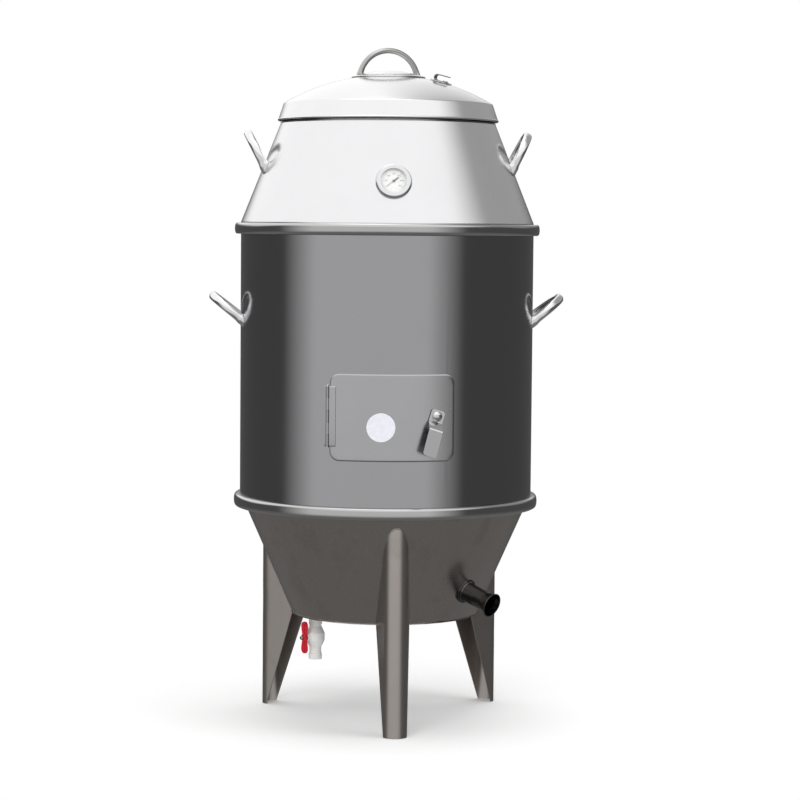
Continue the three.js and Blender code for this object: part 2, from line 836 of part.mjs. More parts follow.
function buildFireGrate(group) {
  const from = potFloorHeight + potWall + seatGap;
  const radius = potBottomRadius - potWall - 2 * seatGap;
  let grate = cylinder(radius, from, from + grateWall, potSides);
  const field = radius - grateRim;
  const pitch = (2 * field) / grateSlotCount;
  for (let i = 0; i < grateSlotCount; i += 1) {
    const middle = -field + pitch * (i + 1 / 2);
    const half = (pitch * grateGapShare) / 2;
    const reach = Math.sqrt(field ** 2 - (Math.abs(middle) + half) ** 2);
    const slot = block(
      [middle - half, -reach, from - overrun],
      [middle + half, reach, from + grateWall + overrun]);
    grate = grate.subtract(slot);
  }
  piece(group, 'fire_grate', grate, finishes.castIron);
}

// Ring-shaped pan round the pot, its outer foot on the base cone's inner face
function buildGreasePan(group) {
  const inset = (sheetWall + seatGap) * Math.hypot(1, baseSlope);
  const bottom = panTopHeight - panDepth;
  const line = [
    [panInnerRadius, panTopHeight],
    [panInnerRadius, bottom],
    [baseRadiusAt(bottom) - inset, bottom],
    [baseRadiusAt(bottom) - inset + panLean, panTopHeight],
  ];
  piece(group, 'grease_pan', turnedSheet(line, panWall), finishes.innerSteel);
}

// Barrel walls, with the door opening through all of them

function openingPrism(grow) {
  const frame = wallFrame(new THREE.Vector3(), 0, 0);
  const width = doorWidth - 2 * doorOverlapSide + 2 * grow;
  const height = doorHeight - 2 * doorOverlapEnd + 2 * grow;
  const shape = roundedRectangle(width, height, openingCornerRadius + grow, doorSill + doorHeight / 2);
  return prism(shape, linerInnerRadius / 2, barrelRadius + ringBulge, frame);
}

function ringBlock(inner, outer, bottom, top) {
  return turned([[inner, bottom], [outer, bottom], [outer, top], [inner, top]]);
}

// Half of the space round the oven's axis, in front of it or behind it
function halfSpace(behind) {
  const [near, far] = behind ? [seatGap / 2, barrelRadius] : [-barrelRadius, -seatGap / 2];
  return block([-barrelRadius, near, 0], [barrelRadius, far, hoodTop]);
}

function buildBarrelWalls(group) {
  const opening = openingPrism(0);
  const footTop = barrelBottom + sheetWall;
  const shellInner = barrelRadius - sheetWall;
  const woolOuter = shellInner - seatGap;
  const shell = ringBlock(shellInner, barrelRadius, barrelBottom, barrelTop);
  const wool = ringBlock(linerRadius + seatGap, woolOuter, footTop + seatGap, barrelTop);
  const liner = ringBlock(linerInnerRadius, linerRadius, barrelBottom, barrelTop);
  const foot = ringBlock(linerRadius + seatGap, woolOuter, barrelBottom, footTop);
  piece(group, 'barrel_shell', shell.subtract(opening), finishes.barrelSteel);
  piece(group, 'barrel_liner_front', liner.subtract(opening).intersect(halfSpace(false)), finishes.innerSteel);
  piece(group, 'barrel_liner_back', liner.intersect(halfSpace(true)), finishes.innerSteel);
  piece(group, 'barrel_foot_ring', foot, finishes.innerSteel);
  piece(group, 'barrel_insulation', wool.subtract(opening), finishes.mineralWool);
}

function buildDoorFrame(group) {
  const wall = ringBlock(linerInnerRadius, barrelRadius, doorSill, doorSill + doorHeight);
  const frame = wall.intersect(openingPrism(-seatGap)).subtract(openingPrism(-seatGap - sheetWall));
  piece(group, 'door_frame', frame, finishes.innerSteel);
}

// Arched oval-tube handles

function archHandle(height, frame) {
  const leg = height - handleHalfSpan + handleFootDepth;
  const rod = new BentRod([-handleHalfSpan, -handleFootDepth], 90, [
    { straight: leg },
    { bend: handleHalfSpan, turn: -180 },
    { straight: leg },
  ]);
  const section = ovalSection(handleHalfWidth, handleHalfThickness, handleSectionSides);
  return sweptRod(section, rod, handleSteps, frame);
}

function buildSideHandle(group, name, azimuth, foot, tilt, keepOut, finish) {
  const frame = wallFrame(pointAt(azimuth, foot[0], foot[1]), azimuth, tilt);
  piece(group, name, archHandle(sideHandleHeight, frame).subtract(keepOut), finish);
}

function buildBarrelHandles(group) {
  const keepOut = cylinder(ringSeatRadius, barrelBottom, barrelTop, roundSides);
  const foot = [barrelRadius, barrelHandleHeight];
  buildSideHandle(group, 'barrel_handle_right', 90, foot, barrelHandleTilt, keepOut, finishes.hoodSteel);
  buildSideHandle(group, 'barrel_handle_left', -90, foot, barrelHandleTilt, keepOut, finishes.hoodSteel);
}

function buildHoodHandles(group) {
  const keepOut = hoodConeBlock(seatGap);
  const foot = [hoodRadiusAt(hoodHandleHeight), hoodHandleHeight];
  buildSideHandle(group, 'hood_handle_right', 90, foot, hoodHandleTilt, keepOut, finishes.hoodSteel);
  buildSideHandle(group, 'hood_handle_left', -90, foot, hoodHandleTilt, keepOut, finishes.hoodSteel);
}

// Ledge inside the liner, and the ring with its hooks that rests on it

function ledgeTop() {
  return ledgeHeight + ledgeWall;
}

function buildHookLedge(group) {
  const outer = linerInnerRadius - seatGap;
  piece(group, 'hook_ledge', ringBlock(outer - ledgeWidth, outer, ledgeHeight, ledgeTop()), finishes.innerSteel);
}

function buildHookRing(group) {
  const inner = linerInnerRadius - seatGap - ledgeWidth + hookRingInset;
  const bottom = ledgeTop() + seatGap;
  let ring = ringBlock(inner, inner + hookRingWall, bottom, bottom + hookRingHeight);
  const rod = new BentRod([-hookRingWall / 2, 0], 0, [
    { straight: hookArm + hookRingWall / 2 },
    { bend: hookKneeRadius, turn: -90 },
    { straight: hookDrop },
    { bend: hookBendRadius, turn: 180 },
    { straight: hookTip },
  ]);
  const section = ovalSection(hookRodRadius, hookRodRadius, hookRodSides);
  for (let i = 0; i < hookCount; i += 1) {
    const azimuth = (360 / hookCount) * (i + 1 / 2);
    const frame = new THREE.Matrix4().makeBasis(
      pointAt(azimuth + 180, 1, 0), pointAt(azimuth - 90, 1, 0), new THREE.Vector3(0, 0, 1));
    frame.setPosition(pointAt(azimuth, inner, bottom + hookRingHeight / 2));
    ring = ring.add(sweptRod(section, rod, hookSteps, frame));
  }
  piece(group, 'hook_ring', ring, finishes.innerSteel);
}

// Fuel door: curved panel over the opening, a pan behind it, wool between, and a blank disc

function doorPrism(width, height, radius, from) {
  const frame = wallFrame(new THREE.Vector3(), 0, 0);
  const shape = roundedRectangle(width, height, radius, doorSill + doorHeight / 2);
  return prism(shape, from, barrelRadius + ringBulge, frame);
}

function doorBlock(inner, outer, inset) {
  const width = doorWidth - 2 * (doorOverlapSide + inset);
  const height = doorHeight - 2 * (doorOverlapEnd + inset);
  const ring = ringBlock(inner, outer, doorSill, doorSill + doorHeight);
  return ring.intersect(doorPrism(width, height, openingCornerRadius, linerInnerRadius / 2));
}

function latchFrame() {
  const azimuth = degrees(Math.asin(latchSide / doorFaceRadius));
  return wallFrame(new THREE.Vector3(0, 0, latchHeight), azimuth, 0);
}

function shankHole(frame) {
  const reach = latchShankRadius + 2 * seatGap;
  return cylinder(reach, linerInnerRadius / 2, doorFaceRadius + overrun, hingeSides, frame);
}

function buildDoor(group) {
  const hole = shankHole(latchTurned());
  const face = ringBlock(doorPanelRadius, doorFaceRadius, doorSill, doorSill + doorHeight)
    .intersect(doorPrism(doorWidth, doorHeight, doorCornerRadius, linerInnerRadius / 2));
  const inset = doorPanInset + sheetWall;
  const back = doorPanelRadius - seatGap;
  const pan = doorBlock(doorPanRadius, back, doorPanInset)
    .subtract(doorBlock(doorPanRadius + sheetWall, back + overrun, inset));
  const wool = doorBlock(doorPanRadius + sheetWall + seatGap, back, inset + seatGap);
  piece(group, 'door_panel', face.subtract(hole), finishes.hoodSteel);
  piece(group, 'door_pan', pan.subtract(hole), finishes.innerSteel);
  piece(group, 'door_insulation', wool.subtract(hole), finishes.mineralWool);
}

function buildDoorDisc(group) {
  const inner = doorFaceRadius + seatGap;
  const frame = wallFrame(new THREE.Vector3(doorDiscSide, 0, doorSill + doorDiscRise), 0, 0);
  const round = cylinder(doorDiscRadius, linerInnerRadius / 2, inner + ringBulge, airPipeSides, frame);
  const skin = ringBlock(inner, inner + doorDiscWall, doorSill, doorSill + doorHeight);
  piece(group, 'door_disc', skin.intersect(round), finishes.whitePaint);
}

// Butt hinge at the door's left edge: two leaves with knuckles round one pin

function hingeFrame() {
  const side = doorWidth / 2 + hingeEdgeGap + knuckleRadius;
  const reach = barrelRadius + seatGap + knuckleRadius;
  const azimuth = -degrees(Math.asin(side / reach));
  return wallFrame(pointAt(azimuth, reach, doorSill + hingeRise - hingeHeight / 2), azimuth, 0);
}

function uprightHingeFrame() {
  return hingeFrame().multiply(new THREE.Matrix4().makeRotationX(-Math.PI / 2));
}

function hingeRound(radius, from, to) {
  return cylinder(radius, from, to, hingeSides, uprightHingeFrame());
}

function hingeLeaf(keepOutRadius, span, firstKnuckle) {
  const top = knuckleRadius - (barrelRadius + seatGap + knuckleRadius) + keepOutRadius + hingeLeafWall;
  const [low, high] = [Math.min(0, span), Math.max(0, span)];
  const depth = top - knuckleRadius;
  let leaf = block([low, 0, depth - 2 * hingeLeafWall], [high, hingeHeight, depth], hingeFrame());
  leaf = leaf.subtract(cylinder(keepOutRadius, doorSill, doorSill + doorHeight, roundSides));
  const pitch = hingeHeight / knuckleCount;
  for (let i = 0; i < knuckleCount; i += 1) {
    const own = i % 2 === firstKnuckle;
    const [from, to] = [pitch * i, pitch * (i + 1)];
    if (own) {
      leaf = leaf.add(hingeRound(knuckleRadius, from + knuckleGap / 2, to - knuckleGap / 2));
    } else {
      const clear = knuckleRadius + knuckleGap;
      leaf = leaf.subtract(hingeRound(clear, from - knuckleGap / 2, to + knuckleGap / 2));
    }
  }
  return leaf.subtract(hingeRound(hingePinRadius + seatGap, -overrun, hingeHeight + overrun));
}

function buildHinge(group, doorGroup) {
  const frameLeaf = hingeLeaf(barrelRadius + seatGap, -frameLeafWidth, 0);
  const doorLeaf = hingeLeaf(doorFaceRadius + seatGap, doorLeafWidth, 1);
  const headFrom = hingeHeight + seatGap;
  const pin = turned([
    [0, -hingePinHeadHeight],
    [hingePinRadius, -hingePinHeadHeight],
    [hingePinRadius, headFrom],
    [hingePinHeadRadius, headFrom],
    [hingePinHeadRadius, headFrom + hingePinHeadHeight],
    [0, headFrom + hingePinHeadHeight],
  ], hingeSides, uprightHingeFrame());
  piece(group, 'frame_hinge_leaf', frameLeaf, finishes.barrelSteel);
  piece(group, 'hinge_pin', pin, finishes.barrelSteel);
  piece(doorGroup, 'door_hinge_leaf', doorLeaf, finishes.hoodSteel);
}

// Latch: bolt through the door, with a bent lever outside and a tongue inside

function latchTurned() {
  return latchFrame().multiply(new THREE.Matrix4().makeRotationZ(radians(latchRestTurn)));
}

function buildLatch(group) {
  const washerFrom = doorFaceRadius + seatGap;
  const leverFrom = washerFrom + latchWasherWall + seatGap;
  const headFrom = leverFrom + leverWall + seatGap;
  const tongueTo = linerInnerRadius - tongueDepth + overrun / 2;
  const tongueFrom = tongueTo - tongueWall;
  const nutTo = tongueFrom - seatGap;
  const nutFrom = nutTo - latchNutHeight;
  const frame = latchTurned();
  const hole = cylinder(latchShankRadius + seatGap, 0, headFrom, hingeSides, frame);

  const reach = [latchHeadRadius, latchHeadHeight];
  const dome = arcPoints([0, headFrom], reach, latchHeadEdgeAngle, quarterTurn, latchHeadSteps);
  const bolt = turned([
    [0, nutFrom - latchShankTail],
    [latchShankRadius, nutFrom - latchShankTail],
    [latchShankRadius, headFrom],
    [latchHeadRadius, headFrom],
    ...dome.slice(0, -1),
    [0, headFrom + latchHeadHeight],
  ], hingeSides, frame);
  piece(group, 'latch_bolt', bolt, finishes.hoodSteel);

  const washer = cylinder(latchWasherRadius, washerFrom, washerFrom + latchWasherWall, smallSides, frame);
  piece(group, 'latch_washer', washer.subtract(hole), finishes.hoodSteel);
  piece(group, 'latch_lever', latchLever(leverFrom, frame).subtract(hole), finishes.hoodSteel);

  const tongueShape = roundedRectangle(
    tongueWidth, tongueLength + tongueWidth / 2, tongueWidth / 2 - seatGap, (tongueWidth / 2 - tongueLength) / 2);
  const tongue = prism(tongueShape, tongueFrom, tongueTo, frame);
  piece(group, 'latch_tongue', tongue.subtract(hole), finishes.innerSteel);
  const nut = cylinder(latchNutRadius, nutFrom, nutTo, nutSides, frame);
  piece(group, 'latch_nut', nut.subtract(hole), finishes.innerSteel);
}

// Lever bent from strip: flat under the bolt head, a shelf standing out, then the blade
function latchLever(from, frame) {
  const shelf = [-leverFlatLength - leverShelfDrop, leverShelfReach];
  const blade = [shelf[0] - leverBladeDrop, leverShelfReach + leverBladeReach];
  const line = [blade, shelf, [-leverFlatLength, 0], [leverTopReach, 0]];
  const half = leverWidth / 2;
  const raised = frame.clone().multiply(new THREE.Matrix4().makeTranslation(0, 0, from));
  const strip = prism(shapeFrom(sheetOutline(line, leverWall)), -half, half, sideOn(raised));
  const length = leverTopReach - blade[0] + leverWall;
  const outline = roundedRectangle(leverWidth - seatGap, length, leverCornerRadius, leverTopReach - length / 2);
  return strip.intersect(prism(outline, 0, from + blade[1] + overrun, frame));
}

// Hood: a short skirt inside the upper ring, the cone, and the neck that carries the lid

function buildHood(group) {
  const line = [
    [barrelRadius, hoodBottom],
    [barrelRadius, hoodConeBottom],
    [hoodTopRadius, hoodTop],
  ];
  const hole = cylinder(probeBossRadius + seatGap, -gaugeRadius, gaugeRadius, smallSides, gaugeFrame());
  piece(group, 'hood_cone', turnedSheet(line, sheetWall).subtract(hole), finishes.hoodSteel);
}

// Height at which the lid's skirt comes to rest on the neck's rim
function neckTop() {
  const skirtSlope = (lidRimRadius - lidKneeRadius) / lidSkirtHeight;
  const wall = (sheetWall + seatGap) * Math.hypot(1, skirtSlope);
  return lidBottom + (lidRimRadius - wall - neckRadius) / skirtSlope;
}

// Rolled from strips of equal length, which meet in upright seams
function buildNeck(group) {
  const inner = neckRadius - sheetWall;
  const profile = [
    [inner, neckFlangeBottom],
    [hoodTopRadius, neckFlangeBottom],
    [hoodTopRadius, neckFlangeTop],
    [neckRadius, neckFlangeTop],
    [neckRadius, neckTop()],
    [inner, neckTop()],
  ];
  const half = Math.PI / neckStrips;
  const apex = seatGap / 2 / Math.sin(half);
  const far = apex + barrelRadius;
  const side = barrelRadius * Math.tan(half);
  const wedge = shapeFrom([[apex, 0], [far, -side], [far, side]]);
  for (let i = 0; i < neckStrips; i++) {
    const frame = new THREE.Matrix4().makeRotationZ(2 * half * i);
    const sector = prism(wedge, 0, neckTop() + seatGap, frame);
    piece(group, `hood_neck_${i + 1}`, turned(profile).intersect(sector), finishes.hoodSteel);
  }
}

// Dial thermometer, built about the line square to the hood's cone

function gaugeFrame() {
  return wallFrame(pointAt(0, hoodRadiusAt(gaugeHeight), gaugeHeight), 0, hoodNormalRise);
}

function buildGauge(group, needleGroup) {
  const frame = gaugeFrame();
  const bossHole = probeBossRadius + seatGap;
  const shoulder = (gaugeRadius + gaugeWindowRadius) / 2;
  const gaugeCase = turned([
    [bossHole, -gaugeBedding],
    [gaugeRadius, -gaugeBedding],
    [gaugeRadius, gaugeFlange],
    [shoulder, gaugeBezelHeight],
    [gaugeWindowRadius, gaugeBezelHeight],
    [gaugeWindowRadius, gaugeGlassSeat],
    [gaugeWellRadius, gaugeGlassSeat],
    [gaugeWellRadius, gaugeWellFloor],
    [bossHole, gaugeWellFloor],
  ], gaugeSides, frame).subtract(hoodConeBlock(seatGap));
  piece(group, 'gauge_case', gaugeCase, finishes.hoodSteel);

  const dialFrom = gaugeWellFloor + seatGap;
  const dialTo = dialFrom + dialWall;
  const pinHole = cylinder(needlePinRadius + seatGap, 0, gaugeBezelHeight, hingeSides, frame);
  const dial = cylinder(gaugeWellRadius - 2 * seatGap, dialFrom, dialTo, dialSides, frame);
  piece(group, 'gauge_dial', dial.subtract(pinHole), finishes.whitePaint);

  const glassFrom = gaugeGlassSeat + seatGap;
  const glass = cylinder(gaugeWindowRadius - seatGap, glassFrom, glassFrom + gaugeGlassWall, gaugeSides, frame);
  piece(group, 'gauge_glass', glass, finishes.clearGlass);

  const boss = cylinder(probeBossRadius, -probeBossDepth, gaugeWellFloor, smallSides, frame);
  const stem = cylinder(probeRadius, -probeLength, -probeBossDepth / 2, smallSides, frame);
  piece(group, 'gauge_probe', boss.add(stem), finishes.brass);

  const nutTo = -sheetWall - gaugeNutGap;
  const nut = cylinder(gaugeNutRadius, nutTo - gaugeNutHeight, nutTo, nutSides, frame);
  const nutHole = cylinder(bossHole, -probeBossDepth, gaugeWellFloor, smallSides, frame);
  piece(group, 'gauge_nut', nut.subtract(nutHole), finishes.brass);

  piece(needleGroup, 'gauge_needle', gaugeNeedle(dialFrom, dialTo, frame), finishes.castIron);
}

// Pointer with a short tail, resting at the cold end of the dial
function gaugeNeedle(dialFrom, dialTo, frame) {
  const rest = frame.clone().multiply(new THREE.Matrix4().makeRotationZ(radians(needleRestTurn)));
  const from = dialTo + needleLift;
  const arrow = shapeFrom([
    [-needleHalfWidth, -needleTail],
    [needleHalfWidth, -needleTail],
    [needleHalfWidth, 0],
    [0, needleLength],
    [-needleHalfWidth, 0],
  ]);
  const hub = turned([
    [0, dialFrom],
    [needlePinRadius, dialFrom],
    [needlePinRadius, from],
    [needleHubRadius, from],
    [needleHubRadius, from + needleHubHeight],
    [0, from + needleHubHeight],
  ], hingeSides, rest);
  const arrowFrom = from + (needleHubHeight - needleWall) / 2;
  return prism(arrow, arrowFrom, arrowFrom + needleWall, rest).add(hub);
}

// Lid: a skirt with a rolled rim, a shallow dome, a raised cap and an arched handle

// Height above the crown's centre of curvature at a radius, less the centre's own depth
function domeHeight(radius, sphere) {
  return Math.sqrt(sphere ** 2 - radius ** 2);
}

function domeCentre() {
  return lidBottom + lidSkirtHeight - domeHeight(lidKneeRadius, lidDomeRadius);
}

function domePoint(radius) {
  return [radius, domeCentre() + domeHeight(radius, lidDomeRadius)];
}

// The knee between skirt and dome, where the band ends and the dome's rolled edge begins
function lidKnee() {
  const lead = (lidSkirtTaper * lidKneeFillet) / lidSkirtHeight;
  return [lidKneeRadius + lead, lidBottom + lidSkirtHeight - lidKneeFillet];
}

function lidBandLine() {
  const [radius, height] = lidKnee();
  return [
    [lidRimRadius + lidBeadRadius, lidBottom],
    [lidRimRadius + lidBeadRadius, lidBottom + lidBeadRadius],
    [lidRimRadius, lidBottom + lidBeadRadius * 2],
    [radius + (lidSkirtTaper * seatGap) / lidSkirtHeight, height - seatGap],
  ];
}

function lidDomeLine() {
  const stations = [lidKneeRadius - lidKneeFillet, (lidKneeRadius + ventReach) / 2, ventReach, lidMouthRadius];
  return [lidKnee(), ...stations.map(domePoint)];
}

function ventFrame() {
  const rise = degrees(Math.acos(ventReach / lidDomeRadius));
  const [, height] = domePoint(ventReach);
  return wallFrame(pointAt(ventAzimuth, ventReach, height), ventAzimuth, rise);
}

function ventPivotFrame() {
  return ventFrame().multiply(new THREE.Matrix4().makeTranslation(ventPivotReach, 0, 0));
}

function buildLidBand(group) {
  piece(group, 'lid_band', turnedSheet(lidBandLine(), sheetWall), finishes.hoodSteel);
}

function buildLidDome(group) {
  const hole = cylinder(ventHoleRadius, -capRadius / 2, capRadius / 2, smallSides, ventFrame());
  const reach = ventRivetRadius + seatGap;
  const rivetHole = cylinder(reach, -capRadius / 2, capRadius / 2, hingeSides, ventPivotFrame());
  const dome = turnedSheet(lidDomeLine(), sheetWall).subtract(hole).subtract(rivetHole);
  piece(group, 'lid_dome', dome, finishes.hoodSteel);
}

function capLine() {
  const foot = domeCentre() + domeHeight(capRadius, lidDomeRadius) + seatGap;
  const shoulder = foot + capEdgeHeight;
  const sphere = ((capRadius - capShoulder) ** 2 + capRise ** 2) / (2 * capRise);
  const dome = Array.from({ length: capDomeSteps + 1 }, (_, i) => {
    const radius = (capRadius - capShoulder) * (1 - i / capDomeSteps);
    return [radius, shoulder + capShoulder / 2 + capRise - sphere + domeHeight(radius, sphere)];
  });
  return [[capRadius, foot], [capRadius, shoulder], ...dome];
}

function buildLidCap(group) {
  piece(group, 'lid_cap', turnedSheet(capLine(), sheetWall, capSides), finishes.hoodSteel);
}

function buildLidHandle(group) {
  const line = capLine();
  const crown = line.at(-1)[1];
  const middle = crown + lidHandleRise - handleHalfThickness - handleHalfSpan;
  const lifted = line.map(([radius, height]) => [radius + seatGap, height + seatGap]);
  const keepOut = turned(
    [[0, middle - 2 * handleFootDepth], [capRadius + seatGap, middle - 2 * handleFootDepth],
      ...lifted.slice(1, -1), [0, crown + seatGap]], capSides);
  const frame = new THREE.Matrix4().makeRotationZ(radians(lidHandleTurn));
  frame.setPosition(0, 0, middle);
  const arch = archHandle(handleHalfSpan, frame);
  piece(group, 'lid_handle', arch.subtract(keepOut), finishes.hoodSteel);
}

// Vent cover: a disc with an ear at its pivot and a folded finger tab
function buildVent(group, coverGroup) {
  const frame = ventFrame();
  const [from, to] = [seatGap, seatGap + sheetWall];
  const swing = Math.acos((ventCoverRadius - ventEarRadius) / ventPivotReach);
  const outline = new THREE.Shape();
  outline.absarc(0, 0, ventCoverRadius, swing, 2 * Math.PI - swing);
  outline.absarc(ventPivotReach, 0, ventEarRadius, -swing, swing);
  const plate = prism(outline, from, to, frame, ventSegments);
  const fold = ventTabRise / 2;
  const middle = to - sheetWall / 2 + fold;
  const bend = arcPoints([ventTabLength / 2 - fold, middle], [fold, fold], -90, 90, ventTabBendSteps);
  const line = [[-ventTabLength / 2, middle - fold], ...bend, [-ventTabLength / 2, middle + fold]];
  const half = ventTabWidth / 2;
  const tab = prism(shapeFrom(sheetOutline(line, sheetWall)), -half, half, sideOn(frame));
  const hole = cylinder(ventRivetRadius + seatGap, -overrun, overrun, hingeSides, ventPivotFrame());
  piece(coverGroup, 'vent_cover', plate.add(tab).subtract(hole), finishes.hoodSteel);

  const headFrom = to + seatGap;
  const rivet = turned([
    [0, -ventRivetDrop - ventRivetHeadHeight],
    [ventRivetHeadRadius, -ventRivetDrop - ventRivetHeadHeight],
    [ventRivetHeadRadius, -ventRivetDrop],
    [ventRivetRadius, -ventRivetDrop],
    [ventRivetRadius, headFrom],
    [ventRivetHeadRadius, headFrom],
    [ventRivetHeadRadius, headFrom + ventRivetHeadHeight],
    [0, headFrom + ventRivetHeadHeight],
  ], hingeSides, ventPivotFrame());
  piece(group, 'vent_rivet', rivet, finishes.hoodSteel);
}

// The whole oven, section by section
const oven = new THREE.Group();
const sections = {};
for (const name of ['base', 'valve', 'fire', 'pan', 'barrel', 'ring', 'door', 'latch', 'hood', 'lid']) {
  sections[name] = new THREE.Group();
  oven.add(sections[name]);
}

buildBaseCone(sections.base);
buildBaseBottom(sections.base);
['leg_front', 'leg_right', 'leg_left'].forEach((name, i) => {
  buildLeg(sections.base, name, baseTurn + (360 / legCount) * i);
});
const lowerLedge = barrelRadius - lowerLedgeWidth;
piece(sections.base, 'lower_ring', beadedRing(lowerRingBottom, lowerRingHeight, lowerLedge), finishes.baseSteel);
buildAirPipe(sections.base);
buildDrainPipe(sections.base);
buildValveBody(sections.base);
buildValveBall(sections.valve);
buildValveStem(sections.valve);
buildValveHandle(sections.valve);
buildValveScrew(sections.valve);
buildFirepot(sections.fire);
buildFireGrate(sections.fire);
buildGreasePan(sections.pan);
buildBarrelWalls(sections.barrel);
const upperRing = beadedRing(upperRingBottom, upperRingHeight, linerInnerRadius);
piece(sections.barrel, 'upper_ring', upperRing, finishes.barrelSteel);
buildDoorFrame(sections.barrel);
buildBarrelHandles(sections.barrel);
buildHookLedge(sections.barrel);
buildHinge(sections.barrel, sections.door);
buildHookRing(sections.ring);
buildDoor(sections.door);
buildDoorDisc(sections.door);
buildLatch(sections.latch);
buildHood(sections.hood);
buildNeck(sections.hood);
buildHoodHandles(sections.hood);
buildGauge(sections.hood, sections.hood);
buildLidBand(sections.lid);
buildLidDome(sections.lid);
buildLidCap(sections.lid);
buildLidHandle(sections.lid);
buildVent(sections.lid, sections.lid);

// The origin goes to the middle of the footprint: the lever reaches further out than the back
const footprint = new THREE.Box3().setFromObject(oven).getCenter(new THREE.Vector3());
oven.position.set(-footprint.x, -footprint.y, 0);

export default oven;
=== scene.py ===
"""Looks of the duck roasting oven: its finished pieces, their materials, the studio and the camera.

Sizes are in millimetres (Z up, the front towards -Y) round the oven's upright axis, and become
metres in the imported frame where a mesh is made. An azimuth is counted in degrees from the front
towards the right.
"""

import logging
from dataclasses import dataclass, field, replace
from enum import Enum
from functools import cache
from math import acos, asin, atan, degrees, radians
from typing import Callable, Sequence

import bmesh
import bpy
import numpy as np
from mathutils import Matrix, Vector
from numpy.typing import ArrayLike


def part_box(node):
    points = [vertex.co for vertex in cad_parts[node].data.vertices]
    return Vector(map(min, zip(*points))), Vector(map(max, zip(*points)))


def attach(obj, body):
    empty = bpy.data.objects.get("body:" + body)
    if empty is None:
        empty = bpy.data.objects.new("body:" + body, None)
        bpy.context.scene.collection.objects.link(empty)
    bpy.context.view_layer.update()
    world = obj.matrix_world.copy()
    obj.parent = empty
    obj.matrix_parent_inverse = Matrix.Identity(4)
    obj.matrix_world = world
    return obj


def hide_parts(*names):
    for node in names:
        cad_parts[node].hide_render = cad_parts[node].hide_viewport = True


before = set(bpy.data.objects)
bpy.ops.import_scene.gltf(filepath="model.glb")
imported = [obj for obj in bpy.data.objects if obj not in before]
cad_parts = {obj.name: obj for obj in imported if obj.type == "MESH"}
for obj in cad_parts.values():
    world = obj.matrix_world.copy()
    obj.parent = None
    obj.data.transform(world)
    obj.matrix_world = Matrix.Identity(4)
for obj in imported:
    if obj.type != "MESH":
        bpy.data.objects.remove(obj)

LOG = logging.getLogger("oven")
MM = 0.001
SIDES = 160
HALVINGS = 34
SEAT_REACH = 30.0
CUT_REACH = 60.0
MERGE_DISTANCE = 2e-6
BEVEL_ANGLE = 50.0
SEAT_GAP = 0.3
SHEET = 1.5
EDGE_WIDTH = 3.6
EDGE_DROP = 1.1
WHOLE = (1.0, 1.0, 1.0)
STILL = (0.0, 0.0, 0.0)
Array = np.ndarray
Pair = tuple[float, float]
Colour = tuple[float, float, float]
OVEN_MIDDLE = (0.0, 0.0, 0.75)
AXIS = np.mean(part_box("base_cone"), axis=0) * [1.0, 1.0, 0.0]


# Shader maths


def operator(operation: str) -> Callable[["Value", "Value | float"], "Value"]:
    """Return a method that applies a Math node's operation to a number and another."""
    return lambda value, other: value.shader.math(operation, value, other)


class Value:
    """A number inside a node tree, on which plain arithmetic adds Math nodes."""

    __add__ = __radd__ = operator("ADD")
    __sub__ = operator("SUBTRACT")
    __mul__ = __rmul__ = operator("MULTIPLY")
    __truediv__ = operator("DIVIDE")
    __pow__ = operator("POWER")

    def __init__(self, shader: "Shader", socket: bpy.types.NodeSocket) -> None:
        """Keep the tree that the number lives in and its socket."""
        self.shader = shader
        self.socket = socket

    def above(self, edge: float, softness: float) -> "Value":
        """Rise smoothly from 0 to 1 over a softness that is centred on an edge.

        Args:
            edge: The value at which the result is a half.
            softness: The width of the rise.

        Returns:
            The smooth step.
        """
        low, high = edge - softness / 2, edge + softness / 2
        inputs = {"Value": self, "From Min": low, "From Max": high}
        settings = {"interpolation_type": "SMOOTHSTEP"}
        return self.shader.value("ShaderNodeMapRange", settings, inputs, "Result")


